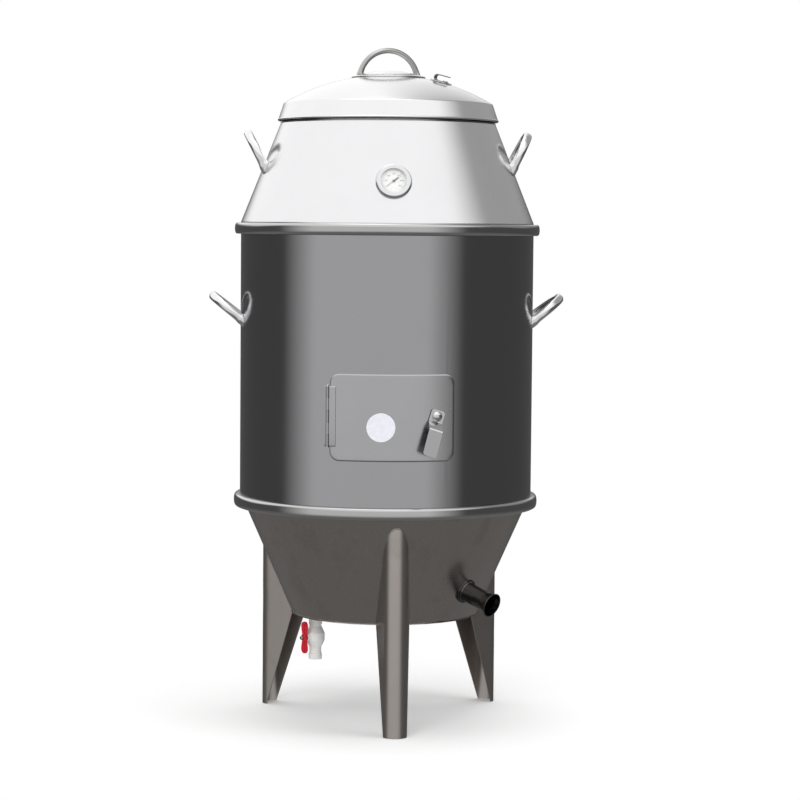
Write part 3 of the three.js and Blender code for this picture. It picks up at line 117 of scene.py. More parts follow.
class Shader:
    """One node tree, a material's or the world's, and the nodes that are added to it."""

    def __init__(self, tree: bpy.types.NodeTree) -> None:
        """Start with an empty tree."""
        self.tree = tree
        tree.nodes.clear()

    def node(self, kind: str, settings: dict | None = None,
             inputs: dict | None = None) -> bpy.types.Node:
        """Add a node, set it up and feed its sockets.

        Args:
            kind: The node's type name.
            settings: Its own settings. "stops" holds the places and colours of a colour ramp.
            inputs: Values or links for its sockets, by name or number.

        Returns:
            The new node.
        """
        node = self.tree.nodes.new(kind)
        for name, setting in (settings or {}).items():
            if name == "stops":
                self.set_stops(node.color_ramp, setting)
            else:
                setattr(node, name, setting)
        for name, given in (inputs or {}).items():
            socket = given.socket if isinstance(given, Value) else given
            if isinstance(socket, bpy.types.NodeSocket):
                self.tree.links.new(socket, node.inputs[name])
            else:
                node.inputs[name].default_value = socket
        return node

    @staticmethod
    def set_stops(ramp: bpy.types.ColorRamp, stops: list[tuple[float, Colour]]) -> None:
        """Replace a ramp's two stops by the given ones, in order of their places."""
        ramp.elements.remove(ramp.elements[1])
        for i, (place, colour) in enumerate(stops):
            element = ramp.elements[0] if i == 0 else ramp.elements.new(place)
            element.position = place
            element.color = (*colour, 1.0)

    def value(self, kind: str, settings: dict, inputs: dict, output: str) -> Value:
        """Add a node and return one of its outputs as a number."""
        return Value(self, self.node(kind, settings, inputs).outputs[output])

    def math(self, operation: str, *operands: "Value | float") -> Value:
        """Add a Math node for an operation on numbers."""
        inputs = dict(enumerate(operands))
        return self.value("ShaderNodeMath", {"operation": operation}, inputs, "Value")

    def mix(self, amount: "Value | float", first: object, second: object) -> bpy.types.NodeSocket:
        """Mix two colours.

        Args:
            amount: The share of the second colour.
            first: A colour or a colour socket.
            second: A colour or a colour socket.

        Returns:
            The mixed colour's socket.
        """
        first, second = [(*c, 1.0) if isinstance(c, tuple) else c for c in (first, second)]
        inputs = {0: amount, 6: first, 7: second}
        return self.node("ShaderNodeMix", {"data_type": "RGBA"}, inputs).outputs[2]

    def vector(self, operation: str, first: object, second: object) -> bpy.types.NodeSocket:
        """Add a Vector Math node for an operation on two vectors."""
        settings, inputs = {"operation": operation}, {0: first, 1: second}
        return self.node("ShaderNodeVectorMath", settings, inputs).outputs[0]

    def coordinates(self, scale: Colour = WHOLE, shift: Colour = STILL) -> bpy.types.NodeSocket:
        """Return the object's own coordinates, in metres, moved and then stretched."""
        source = self.node("ShaderNodeTexCoord").outputs["Object"]
        return self.vector("MULTIPLY", self.vector("ADD", source, shift), scale)

    def noise(self, scale: Colour | float, detail: float, roughness: float,
              shift: Colour = STILL) -> Value:
        """Return a noise from 0 to 1 on the object's coordinates.

        Args:
            scale: How many cells there are in a metre, along each axis or along all.
            detail: The number of finer layers.
            roughness: How strong the finer layers are.
            shift: Where the pattern starts, in metres.

        Returns:
            The noise.
        """
        cells = self.coordinates(scale if isinstance(scale, tuple) else (scale,) * 3, shift)
        inputs = {"Vector": cells, "Scale": 1.0, "Detail": detail, "Roughness": roughness}
        return self.value("ShaderNodeTexNoise", {}, inputs, "Fac")

    def parts(self, vector: bpy.types.NodeSocket) -> list[Value]:
        """Split a vector into three numbers."""
        split = self.node("ShaderNodeSeparateXYZ", {}, {"Vector": vector})
        return [Value(self, split.outputs[axis]) for axis in "XYZ"]

    def shine(self, kind: str, colour: object,
              strength: "Value | float" = 1.0) -> bpy.types.NodeSocket:
        """Add a node that gives light of a colour, as a background or from a surface."""
        colour = (*colour, 1.0) if isinstance(colour, tuple) else colour
        return self.node(kind, {}, {"Color": colour, "Strength": strength}).outputs[0]

    def blend(self, share: "Value | bpy.types.NodeSocket", first: bpy.types.NodeSocket,
              second: bpy.types.NodeSocket) -> bpy.types.NodeSocket:
        """Mix two surfaces, by the share of the second."""
        return self.node("ShaderNodeMixShader", {}, {0: share, 1: first, 2: second}).outputs[0]

    def light_path(self, name: str) -> Value:
        """Return 1 for rays of a kind and 0 for all others."""
        return self.value("ShaderNodeLightPath", {}, {}, name)

    def finish(self, colour: object, roughness: "Value", bump: tuple[Value, float] | None = None,
               **others: object) -> None:
        """Close a material with one Principled surface.

        Args:
            colour: Its base colour.
            roughness: Its roughness.
            bump: A height that bends the normal, and the metres that its full range stands for.
            **others: Other inputs that have no space in their name.
        """
        inputs = {"Base Color": colour, "Roughness": roughness, **others}
        if bump:
            relief = {"Height": bump[0], "Distance": bump[1], "Strength": 1.0}
            inputs["Normal"] = self.node("ShaderNodeBump", {}, relief).outputs["Normal"]
        surface = self.node("ShaderNodeBsdfPrincipled", {}, inputs)
        self.node("ShaderNodeOutputMaterial", {}, {"Surface": surface.outputs["BSDF"]})


def scaled(colour: Colour, share: float, lift: float = 0.0) -> Colour:
    """Return a colour made darker or lighter by a share, plus a lift, at most white."""
    return tuple(min(part * share + lift, 1.0) for part in colour)


@dataclass(frozen=True)
class Finish:
    """A surface finish, which knows how to make its own material."""

    name: str

    def dress(self, shader: Shader) -> None:
        """Build the finish in a material's node tree."""
        raise NotImplementedError


@cache
def material_of(finish: Finish) -> bpy.types.Material:
    """Make a finish's material once, and return the same one each time."""
    material = bpy.data.materials.new(finish.name)
    material.use_nodes = True
    finish.dress(Shader(material.node_tree))
    return material


class Grain(Enum):
    """Which way a sheet was brushed, as cells in a metre along each axis."""

    UPRIGHT = (1400.0, 1400.0, 9.0)
    AROUND = (24.0, 24.0, 1500.0)
    ALL_ROUND = (700.0, 700.0, 700.0)


@dataclass(frozen=True)
class SheetSteel(Finish):
    """Stainless sheet: fine brushing, soft handling marks, faint blotches and a few specks."""

    colour: Colour
    roughness: float
    grain: Grain = Grain.UPRIGHT
    grain_depth: float = 0.000004
    mottling: float = 0.10
    smears: float = 0.05
    stain: Colour = (0.30, 0.25, 0.21)
    stain_share: float = 0.0
    waviness: float = 0.0

    def dress(self, shader: Shader) -> None:
        """Brushing bends the normal, smears change the roughness, and blotches the colour."""
        grain = shader.noise(self.grain.value, 4.0, 0.6)
        smears = shader.noise((9.0, 9.0, 2.5), 3.0, 0.55, (0.3, 0.1, 0.7))
        blotches = shader.noise((14.0, 14.0, 11.0), 5.0, 0.62, (1.7, 0.4, 0.2))
        specks = shader.noise(260.0, 2.0, 0.5, (0.2, 0.9, 0.1)).above(0.74, 0.04)
        shade = 1.0 + (blotches - 0.5) * (self.mottling * 2) + (grain - 0.5) * self.mottling
        dark, light = scaled(self.colour, 0.72), scaled(self.colour, 1.12)
        colour = shader.mix((shade - 0.55) / 0.9, dark, light)
        stained = blotches.above(0.60, 0.16) * self.stain_share
        colour = shader.mix(stained, colour, self.stain)
        roughness = self.roughness + (smears - 0.5) * (self.smears * 2)
        roughness = roughness + specks * 0.12 + stained * 0.1
        height = grain
        if self.waviness:
            waves = shader.noise((5.0, 5.0, 4.0), 1.0, 0.4, (0.6, 0.2, 0.9))
            height = grain + waves * self.waviness
        shader.finish(colour, roughness, (height, self.grain_depth), Metallic=1.0)


@dataclass(frozen=True)
class HeatedSteel(Finish):
    """Inner sheet that has been through fires: brown heat tint, grease mottling, dulled gloss."""

    colour: Colour = (0.50, 0.49, 0.47)
    tint: Colour = (0.36, 0.26, 0.17)
    tint_share: float = 0.5

    def dress(self, shader: Shader) -> None:
        """Large clouds carry the heat tint, and small ones the spots that spatter leaves."""
        clouds = shader.noise((7.0, 7.0, 5.0), 4.0, 0.6)
        spots = shader.noise(90.0, 3.0, 0.6, (0.5, 0.1, 0.3))
        tinted = clouds.above(0.52, 0.3) * self.tint_share
        colour = shader.mix(tinted, self.colour, self.tint)
        colour = shader.mix(spots.above(0.64, 0.1) * 0.35, colour, (0.12, 0.09, 0.07))
        roughness = 0.42 + (spots - 0.5) * 0.3 + tinted * 0.15
        shader.finish(colour, roughness, (spots, 0.00008), Metallic=1.0)


@dataclass(frozen=True)
class SootyIron(Finish):
    """Cast iron of the fire pot: dark, grainy, with grey ash dusted over its upward bumps."""

    colour: Colour = (0.055, 0.050, 0.046)
    ash: Colour = (0.30, 0.28, 0.26)
    rust: Colour = (0.17, 0.075, 0.035)

    def dress(self, shader: Shader) -> None:
        """A coarse grain gives the casting's skin, and clouds give rust and ash."""
        grain = shader.noise(420.0, 5.0, 0.65)
        clouds = shader.noise(22.0, 4.0, 0.6, (0.1, 0.5, 0.2))
        colour = shader.mix(clouds.above(0.58, 0.14) * 0.6, self.colour, self.rust)
        colour = shader.mix((grain * clouds).above(0.32, 0.12) * 0.35, colour, self.ash)
        shader.finish(colour, 0.78 + (grain - 0.5) * 0.3, (grain, 0.0004), Metallic=0.55)


@dataclass(frozen=True)
class RockWool(Finish):
    """Mineral wool: matted fibres in straw colours, without gloss."""

    light: Colour = (0.74, 0.69, 0.55)
    dark: Colour = (0.42, 0.37, 0.26)

    def dress(self, shader: Shader) -> None:
        """Two crossed stretched noises make the fibres."""
        across = shader.noise((300.0, 1900.0, 1900.0), 4.0, 0.7)
        along = shader.noise((1700.0, 260.0, 1700.0), 4.0, 0.7, (0.3, 0.3, 0.3))
        fibres = shader.math("MAXIMUM", across, along)
        colour = shader.mix(fibres.above(0.58, 0.3), self.dark, self.light)
        shader.finish(colour, 0.85 + fibres * 0.15, (fibres, 0.0015))


@dataclass(frozen=True)
class Moulded(Finish):
    """Moulded plastic: an even colour with a faint skin texture, handling marks and gloss."""

    colour: Colour
    roughness: float = 0.32
    grime: float = 0.10

    def dress(self, shader: Shader) -> None:
        """A fine skin bends the normal, and soft marks dull and darken it a little."""
        skin = shader.noise(900.0, 2.0, 0.5)
        marks = shader.noise(60.0, 4.0, 0.6, (0.2, 0.4, 0.9))
        share = marks.above(0.55, 0.3) * self.grime
        colour = shader.mix(share, self.colour, scaled(self.colour, 0.82))
        shader.finish(colour, self.roughness + (marks - 0.5) * 0.16, (skin, 0.00002), IOR=1.48)


@dataclass(frozen=True)
class Paint(Finish):
    """A thin coat of paint or a printed face, slightly uneven."""

    colour: Colour
    roughness: float = 0.45
    speckle: float = 0.0

    def dress(self, shader: Shader) -> None:
        """A soft orange-peel texture, with a share of small pale and dark specks."""
        peel = shader.noise(650.0, 2.0, 0.5)
        clouds = shader.noise(120.0, 4.0, 0.6, (0.7, 0.1, 0.4))
        share = clouds.above(0.5, 0.4) * (0.3 + self.speckle)
        colour = shader.mix(share, self.colour, scaled(self.colour, 0.86, 0.01))
        shader.finish(colour, self.roughness + (peel - 0.5) * 0.12, (peel, 0.00002))


@dataclass(frozen=True)
class WindowGlass(Finish):
    """The dial's flat glass: nearly clear, with smudges that catch a little light."""

    colour: Colour = (0.93, 0.96, 0.96)
    clearness: float = 0.90

    def dress(self, shader: Shader) -> None:
        """The smudges raise how much of the surface is seen."""
        smudges = shader.noise(70.0, 4.0, 0.6)
        alpha = (1.0 - self.clearness) + smudges.above(0.6, 0.3) * 0.05
        colour = shader.mix(smudges, self.colour, scaled(self.colour, 0.9))
        shader.finish(colour, 0.03 + smudges * 0.05, Alpha=alpha, IOR=1.5)


@dataclass(frozen=True)
class TurnedBrass(Finish):
    """Brass from the lathe: fine rings of tool marks, and tarnish in the low places."""

    colour: Colour = (0.69, 0.53, 0.26)
    tarnish: Colour = (0.36, 0.25, 0.12)

    def dress(self, shader: Shader) -> None:
        """Stretched noise makes the tool marks, and clouds the tarnish."""
        marks = shader.noise((200.0, 2400.0, 200.0), 3.0, 0.6)
        clouds = shader.noise(80.0, 4.0, 0.6, (0.4, 0.2, 0.6))
        colour = shader.mix(clouds.above(0.55, 0.2) * 0.6, self.colour, self.tarnish)
        shader.finish(colour, 0.24 + marks * 0.16 + clouds * 0.1, (marks, 0.00002), Metallic=1.0)


BARREL_STEEL = SheetSteel("barrel_steel", (0.42, 0.42, 0.43), 0.14, waviness=30.0, mottling=0.05)
# Painted highlight: the hood and the lid are the same stainless sheet as the barrel, but their
# colours are raised to paint in the brightness that their upward faces take from the overhead
# light.
HOOD_STEEL_PAINTED_BRIGHT = SheetSteel("hood_steel", (0.80, 0.80, 0.81), 0.20, waviness=20.0, mottling=0.07)
LID_STEEL_PAINTED_BRIGHT = SheetSteel("lid_steel_painted_bright", (0.82, 0.82, 0.82), 0.18, Grain.AROUND, mottling=0.06)
DOOR_STEEL = SheetSteel("door_steel", (0.50, 0.50, 0.51), 0.22, waviness=10.0, mottling=0.06)
RING_STEEL = SheetSteel("ring_steel", (0.55, 0.55, 0.545), 0.14, Grain.AROUND, mottling=0.08)
BASE_STEEL = SheetSteel("base_steel", (0.50, 0.46, 0.43), 0.27, waviness=15.0, mottling=0.12,
                        stain_share=0.25)
LEG_STEEL = SheetSteel("leg_steel", (0.52, 0.48, 0.45), 0.33, mottling=0.14, stain_share=0.2)
HANDLE_STEEL = SheetSteel("handle_steel", (0.82, 0.82, 0.83), 0.13, Grain.ALL_ROUND, mottling=0.06)
FITTING_STEEL = SheetSteel("fitting_steel", (0.74, 0.74, 0.75), 0.12, Grain.ALL_ROUND,
                           mottling=0.05)
ARCH_STEEL = SheetSteel("arch_steel", (0.44, 0.44, 0.43), 0.22, Grain.ALL_ROUND, mottling=0.12)
TAB_STEEL = SheetSteel("tab_steel", (0.24, 0.24, 0.24), 0.25, Grain.ALL_ROUND, mottling=0.1)
SMOKED_STEEL = SheetSteel("smoked_steel", (0.11, 0.11, 0.11), 0.13, Grain.ALL_ROUND, mottling=0.2,
                          stain=(0.05, 0.045, 0.04), stain_share=0.5)
INNER_STEEL = HeatedSteel("inner_steel")
PAN_STEEL = HeatedSteel("pan_steel", tint_share=0.75)
FIRE_IRON = SootyIron("fire_iron")
WOOL = RockWool("rock_wool")
WHITE_PLASTIC = Moulded("white_plastic", (0.86, 0.86, 0.84))
RED_PLASTIC = Moulded("red_plastic", (0.62, 0.015, 0.035), 0.26)
DIAL_WHITE = Paint("dial_white", (0.88, 0.88, 0.86), 0.5)
LABEL_WHITE = Paint("label_white", (0.80, 0.80, 0.87), 0.55, speckle=0.3)
DIAL_BLACK = Paint("dial_black", (0.03, 0.03, 0.035), 0.5)
GLASS = WindowGlass("dial_glass")
BRASS = TurnedBrass("turned_brass")


# Surfaces


@dataclass(frozen=True)
class Frame:
    """A place with three directions: right, up and out, each of unit length."""

    origin: Array
    right: Array
    up: Array
    out: Array

    @staticmethod
    def on_wall(azimuth: float, radius: float, height: float, rise: float = 0.0) -> "Frame":
        """Stand on an upright or sloping wall round the oven's axis.

        Args:
            azimuth: Where round the oven the frame stands.
            radius: Its distance from the axis.
            height: Its height over the floor.
            rise: How far its outward direction points above level, in degrees.

        Returns:
            The frame: right runs round the wall, up runs up it.
        """
        turn, lift = np.radians(azimuth), np.radians(rise)
        flat = np.array([np.sin(turn), -np.cos(turn), 0.0])
        right = np.array([np.cos(turn), np.sin(turn), 0.0])
        out = flat * np.cos(lift) + np.array([0.0, 0.0, np.sin(lift)])
        return Frame(flat * radius + [0.0, 0.0, height], right, np.cross(out, right), out)

    @staticmethod
    def upright(x: float = 0.0, y: float = 0.0, z: float = 0.0, turn: float = 0.0) -> "Frame":
        """Stand level, with out straight up, turned about the upright by an angle in degrees."""
        c, s = np.cos(np.radians(turn)), np.sin(np.radians(turn))
        rows = np.array([[c, s, 0.0], [-s, c, 0.0], [0.0, 0.0, 1.0]])
        return Frame(np.array([x, y, z]), *rows)

    def at(self, right: Array | float, up: Array | float, out: Array | float) -> Array:
        """Return the points at given distances along the three directions."""
        steps = np.broadcast_arrays(right, up, out)
        axes = (self.right, self.up, self.out)
        return self.origin + sum(step[..., None] * axis for step, axis in zip(steps, axes))

    def around(self, radius: Array | float, angle: Array, out: Array | float) -> Array:
        """Return points round the outward line: right = r cos a and up = r sin a."""
        return self.at(radius * np.cos(angle), radius * np.sin(angle), out)

    def moved(self, right: float) -> "Frame":
        """Return the frame moved to its own right."""
        return replace(self, origin=self.at(right, 0.0, 0.0))

    def rolled(self, angle: float) -> "Frame":
        """Return the frame turned about its outward direction, in degrees."""
        c, s = np.cos(np.radians(angle)), np.sin(np.radians(angle))
        return replace(self, right=self.right * c + self.up * s, up=self.up * c - self.right * s)

    def side_on(self) -> "Frame":
        """Return the frame whose right, up and out are this one's up, out and right."""
        return Frame(self.origin, self.up, self.out, self.right)


WORLD = Frame.upright()


class Ends(Enum):
    """How the first and last ring of a lofted surface are closed."""

    CAPPED = "each by a flat face"
    JOINED = "to each other"


@dataclass
class Surface:
    """A closed skin: its points, and its faces in blocks of equal corner count."""

    points: Array
    blocks: list[Array]

    def volume(self) -> float:
        """Return the enclosed volume, negative where the faces point inwards.

        Each face is split into a fan, and each triangle adds the volume of the cone from the
        origin to it.
        """
        total = 0.0
        for block in self.blocks:
            corners = self.points[block]
            fans = np.cross(corners[:, 1:-1], corners[:, 2:])
            total += float(np.einsum("fi,fki->", corners[:, 0], fans)) / 6.0
        return total

    def outward(self) -> "Surface":
        """Return the surface with its faces pointing outwards."""
        if self.volume() < 0.0:
            self.blocks = [block[:, ::-1] for block in self.blocks]
        return self


def grid_faces(index: Array) -> Array:
    """Return the four-cornered faces between the neighbours of a grid of point numbers."""
    corners = (index[:-1, :-1], index[1:, :-1], index[1:, 1:], index[:-1, 1:])
    return np.stack(corners, axis=-1).reshape(-1, 4)


def lofted(rings: Array, ends: Ends) -> Surface:
    """Skin a stack of closed rings: ring i and point j meet ring i + 1 and point j + 1.

    Args:
        rings: Points of shape (rings, points round each, 3).
        ends: How the stack is closed.

    Returns:
        The closed surface.
    """
    count, around = rings.shape[:2]
    index = np.arange(count * around).reshape(count, around)
    index = np.concatenate([index, index[:, :1]], axis=1)
    blocks = []
    if ends is Ends.JOINED:
        index = np.concatenate([index, index[:1]], axis=0)
    else:
        blocks = [index[:1, -2::-1], index[-1:, :-1]]
    return Surface(rings.reshape(-1, 3), [grid_faces(index), *blocks]).outward()


def thickened(outer: Array, inner: Array) -> Surface:
    """Close two matching grids into a plate, with a strip of faces all round their rims.

    Args:
        outer: Points of shape (rows, columns, 3).
        inner: The points behind them.

    Returns:
        The closed surface.
    """
    rows, columns = outer.shape[:2]
    front = np.arange(rows * columns).reshape(rows, columns)
    rim = np.concatenate([front[0, :-1], front[:-1, -1], front[-1, :0:-1], front[::-1, 0]])
    strip = grid_faces(np.stack([rim + rows * columns, rim]))
    back = grid_faces(front + rows * columns)[:, ::-1]
    points = np.concatenate([outer.reshape(-1, 3), inner.reshape(-1, 3)])
    return Surface(points, [grid_faces(front), back, strip]).outward()


def circle(count: int) -> Array:
    """Return even angles round a full turn."""
    return np.linspace(0.0, 2.0 * np.pi, count, endpoint=False)


def unit(vectors: Array) -> Array:
    """Return vectors at unit length."""
    return vectors / np.linalg.norm(vectors, axis=-1, keepdims=True)


def joined(*parts: ArrayLike) -> Array:
    """Join pieces of a line end to end; a piece may be a single point."""
    return np.concatenate([np.atleast_2d(part) for part in parts])


def turned(profile: ArrayLike, place: Frame = WORLD, sides: int = SIDES) -> Surface:
    """Turn a closed profile round a frame's outward line: right = r cos a, up = r sin a, out = h.

    Args:
        profile: Radius and height of each point, in order round the profile.
        place: The frame whose outward line is the axis.
        sides: The number of steps round.

    Returns:
        The closed surface.
    """
    radius, height = np.hsplit(np.asarray(profile, float), 2)
    return lofted(place.around(radius, circle(sides), height), Ends.JOINED)


def slab(inner: float, outer: float, low: float, high: float) -> Array:
    """Return the corners of a rectangle between two radii and two heights."""
    return np.array([[inner, low], [outer, low], [outer, high], [inner, high]])


def broken_slab(inner: float, outer: float, low: float, high: float, edge: float) -> Array:
    """Return a rectangle's corners between two radii and heights, its two outer ones cut off."""
    return np.array([[inner, low], [outer - edge, low], [outer, low + edge], [outer, high - edge],
                     [outer - edge, high], [inner, high]])


def column(place: Frame, radius: float, low: float, high: float, sides: int,
           edge: float = 0.0) -> Surface:
    """Stand a round column on a frame's outward line.

    Args:
        place: The frame.
        radius: The column's radius.
        low: Where it starts along the line.
        high: Where it ends.
        sides: The number of steps round.
        edge: The radius of its outer end's edge.

    Returns:
        The closed surface.
    """
    line = slab(0.0, radius, low, high)
    if edge:
        line = joined(line[0], filleted(line[1:], edge, 5))
    return turned(line, place, sides)


def prism(outline: Array, low: float, high: float, place: Frame) -> Surface:
    """Draw a flat outline, given in a frame's right and up, out from one distance to another."""
    rings = [place.at(outline[:, 0], outline[:, 1], out) for out in (low, high)]
    return lofted(np.stack(rings), Ends.CAPPED)


def tube(centres: Array, side: Array, up: Array, half_width: Array, half_height: Array,
         around: int = 24) -> Surface:
    """Carry an oval along a line: centre + side w cos a + up h sin a.

    Args:
        centres: The line's points.
        side: The oval's first direction at each point.
        up: Its second direction at each point.
        half_width: Its reach along the first.
        half_height: Its reach along the second.
        around: The number of points round it.

    Returns:
        The closed surface.
    """
    angle = circle(around)[None, :, None]
    wide = np.broadcast_to(half_width, len(centres))[:, None, None] * side[:, None] * np.cos(angle)
    high = np.broadcast_to(half_height, len(centres))[:, None, None] * up[:, None] * np.sin(angle)
    return lofted(centres[:, None] + wide + high, Ends.CAPPED)


def arc(centre: Pair, reach: Pair, start: float, end: float, steps: int) -> Array:
    """Return points along an arc of an ellipse, from one angle to another, in degrees."""
    angle = np.radians(np.linspace(start, end, steps + 1))
    points = centre[0] + reach[0] * np.cos(angle), centre[1] + reach[1] * np.sin(angle)
    return np.stack(points, axis=-1)


def filleted(line: ArrayLike, radii: Sequence[float] | float, steps: int = 6) -> Array:
    """Round the inner corners of an open line.

    At each corner the arc's centre lies on the bisector, and its points turn evenly from the
    one side's touching point to the other's.

    Args:
        line: The line's points, of shape (n, 2).
        radii: The radius at each inner corner, or one for all.
        steps: The number of steps in each arc.

    Returns:
        The rounded line.
    """
    line = np.asarray(line, float)
    corner = line[1:-1]
    before, after = unit(line[:-2] - corner), unit(line[2:] - corner)
    half = np.arccos(np.clip((before * after).sum(axis=1), -1.0, 1.0)) / 2.0
    radius = np.broadcast_to(radii, len(corner)).astype(float)
    centre = corner + unit(before + after) * (radius / np.sin(half))[:, None]
    touch = (radius / np.tan(half))[:, None]
    first, last = corner + before * touch - centre, corner + after * touch - centre
    sweep = (np.pi - 2.0 * half)[:, None, None]
    share = np.linspace(0.0, 1.0, steps + 1)[None, :, None]
    bend = first[:, None] * np.sin((1.0 - share) * sweep) + last[:, None] * np.sin(share * sweep)
    bend = bend / np.sin(sweep)
    return joined(line[0], (centre[:, None] + bend).reshape(-1, 2), line[-1])


def offset_line(line: Array, distance: float) -> Array:
    """Move an open line to its left: each point goes along the mean normal of its two sides."""
    along = unit(np.diff(line, axis=0))
    normal = np.stack([-along[:, 1], along[:, 0]], axis=-1)
    before, after = joined(normal[0], normal), joined(normal, normal[-1])
    mean = unit(before + after)
    return line + mean * (distance / (mean * after).sum(axis=1))[:, None]


def walled(line: Array, wall: float) -> Array:
    """Close an open line into the outline of a bent sheet, its wall to the left of the line."""
    return joined(line, offset_line(line, wall)[::-1])


def resampled(line: Array, shares: Array) -> Array:
    """Return points at given shares of a line's length."""
    steps = np.linalg.norm(np.diff(line, axis=0), axis=1)
    reached = np.concatenate([[0.0], np.cumsum(steps)]) / steps.sum()
    return np.stack([np.interp(shares, reached, line[:, k]) for k in range(line.shape[1])], axis=-1)


def resampled_keeping(line: Array, pieces: int) -> Array:
    """Split a line's last side into even pieces and keep its other points."""
    share = np.linspace(0.0, 1.0, pieces + 1)[1:, None]
    return joined(line[:-1], line[-2] + (line[-1] - line[-2]) * share)


def rounded_rectangle(width: float, height: float, radius: float, middle: float = 0.0,
                      steps: int = 10) -> Array:
    """Return the outline of a rectangle with round corners, centred on x = 0 and a height."""
    side, end = width / 2.0 - radius, height / 2.0 - radius
    signs = np.array([[1.0, -1.0], [1.0, 1.0], [-1.0, 1.0], [-1.0, -1.0]])
    starts = np.array([-90.0, 0.0, 90.0, 180.0])
    angle = np.radians(starts[:, None] + np.linspace(0.0, 90.0, steps + 1))
    bend = np.stack([np.cos(angle), np.sin(angle)], axis=-1) * radius
    corners = signs * [side, end] + [0.0, middle]
    return (corners[:, None] + bend).reshape(-1, 2)


Clearance = Callable[[Array], Array]


@dataclass(frozen=True)
class Cone:
    """A cone round the oven's axis, or a drum where its two radii are the same."""

    low: float
    radius_low: float
    high: float
    radius_high: float

    @property
    def slope(self) -> float:
        """How far the radius changes for each millimetre of height."""
        return (self.radius_high - self.radius_low) / (self.high - self.low)

    def radius(self, height: Array | float) -> Array | float:
        """Return the cone's radius at a height."""
        return self.radius_low + self.slope * (height - self.low)

    def place(self, azimuth: float, height: float, rise: float) -> "Frame":
        """Return a frame on the cone, its outward line raised by an angle in degrees."""
        return Frame.on_wall(azimuth, self.radius(height), height, rise)

    def clearance(self) -> Clearance:
        """Return a function that tells how far points lie outside the cone and a gap round it."""
        spread = SEAT_GAP * np.hypot(1.0, self.slope)
        reach = lambda points: np.hypot(points[..., 0], points[..., 1])
        return lambda points: reach(points) - self.radius(points[..., 2]) - spread


def on_drum(across: Array, level: Array, radius: Array | float) -> Array:
    """Return points at the front of a drum: y = -sqrt(radius squared - x squared)."""
    return np.stack([across, -np.sqrt(radius * radius - across * across), level], axis=-1)


def meeting(point_at: Callable[[Array], Array], inside: Array, outside: Array,
            clearance: Clearance) -> Array:
    """Find where lines of points cross a wall, by halving each line's range again and again.

    Args:
        point_at: Gives the points for an array of positions on the lines.
        inside: A position on each line that lies inside the wall.
        outside: A position on each that lies outside it.
        clearance: How far points lie outside the wall.

    Returns:
        The position at which each line meets the wall.
    """
    low, high = np.broadcast_arrays(np.asarray(inside, float), np.asarray(outside, float))
    for _ in range(HALVINGS):
        middle = (low + high) / 2.0
        is_out = clearance(point_at(middle)) > 0.0
        low, high = np.where(is_out, low, middle), np.where(is_out, middle, high)
    return high


def seat(place: Frame, radius: Array | float, sides: int, wall: Cone) -> Array:
    """Find where circles round a frame's outward line meet a wall.

    Args:
        place: The frame, on the wall.
        radius: The circles' radius, or a column of radii.
        sides: The number of steps round.
        wall: The wall.

    Returns:
        The distance along the outward line, for each circle and step.
    """
    reach = np.full(np.broadcast_shapes(np.shape(radius), (sides,)), SEAT_REACH)
    ring = lambda out: place.around(radius, circle(sides), out)
    return meeting(ring, -reach, reach, wall.clearance())


# Blender meshes


class Cut(Enum):
    """What a second solid does to a piece."""

    AWAY = "DIFFERENCE"
    JOINED = "UNION"


def bored(place: Frame, radius: float, sides: int, low: float = -CUT_REACH,
          high: float = CUT_REACH) -> tuple[Cut, Surface]:
    """Return a round hole along a frame's outward line, as a cut."""
    return Cut.AWAY, column(place, radius, low, high, sides)


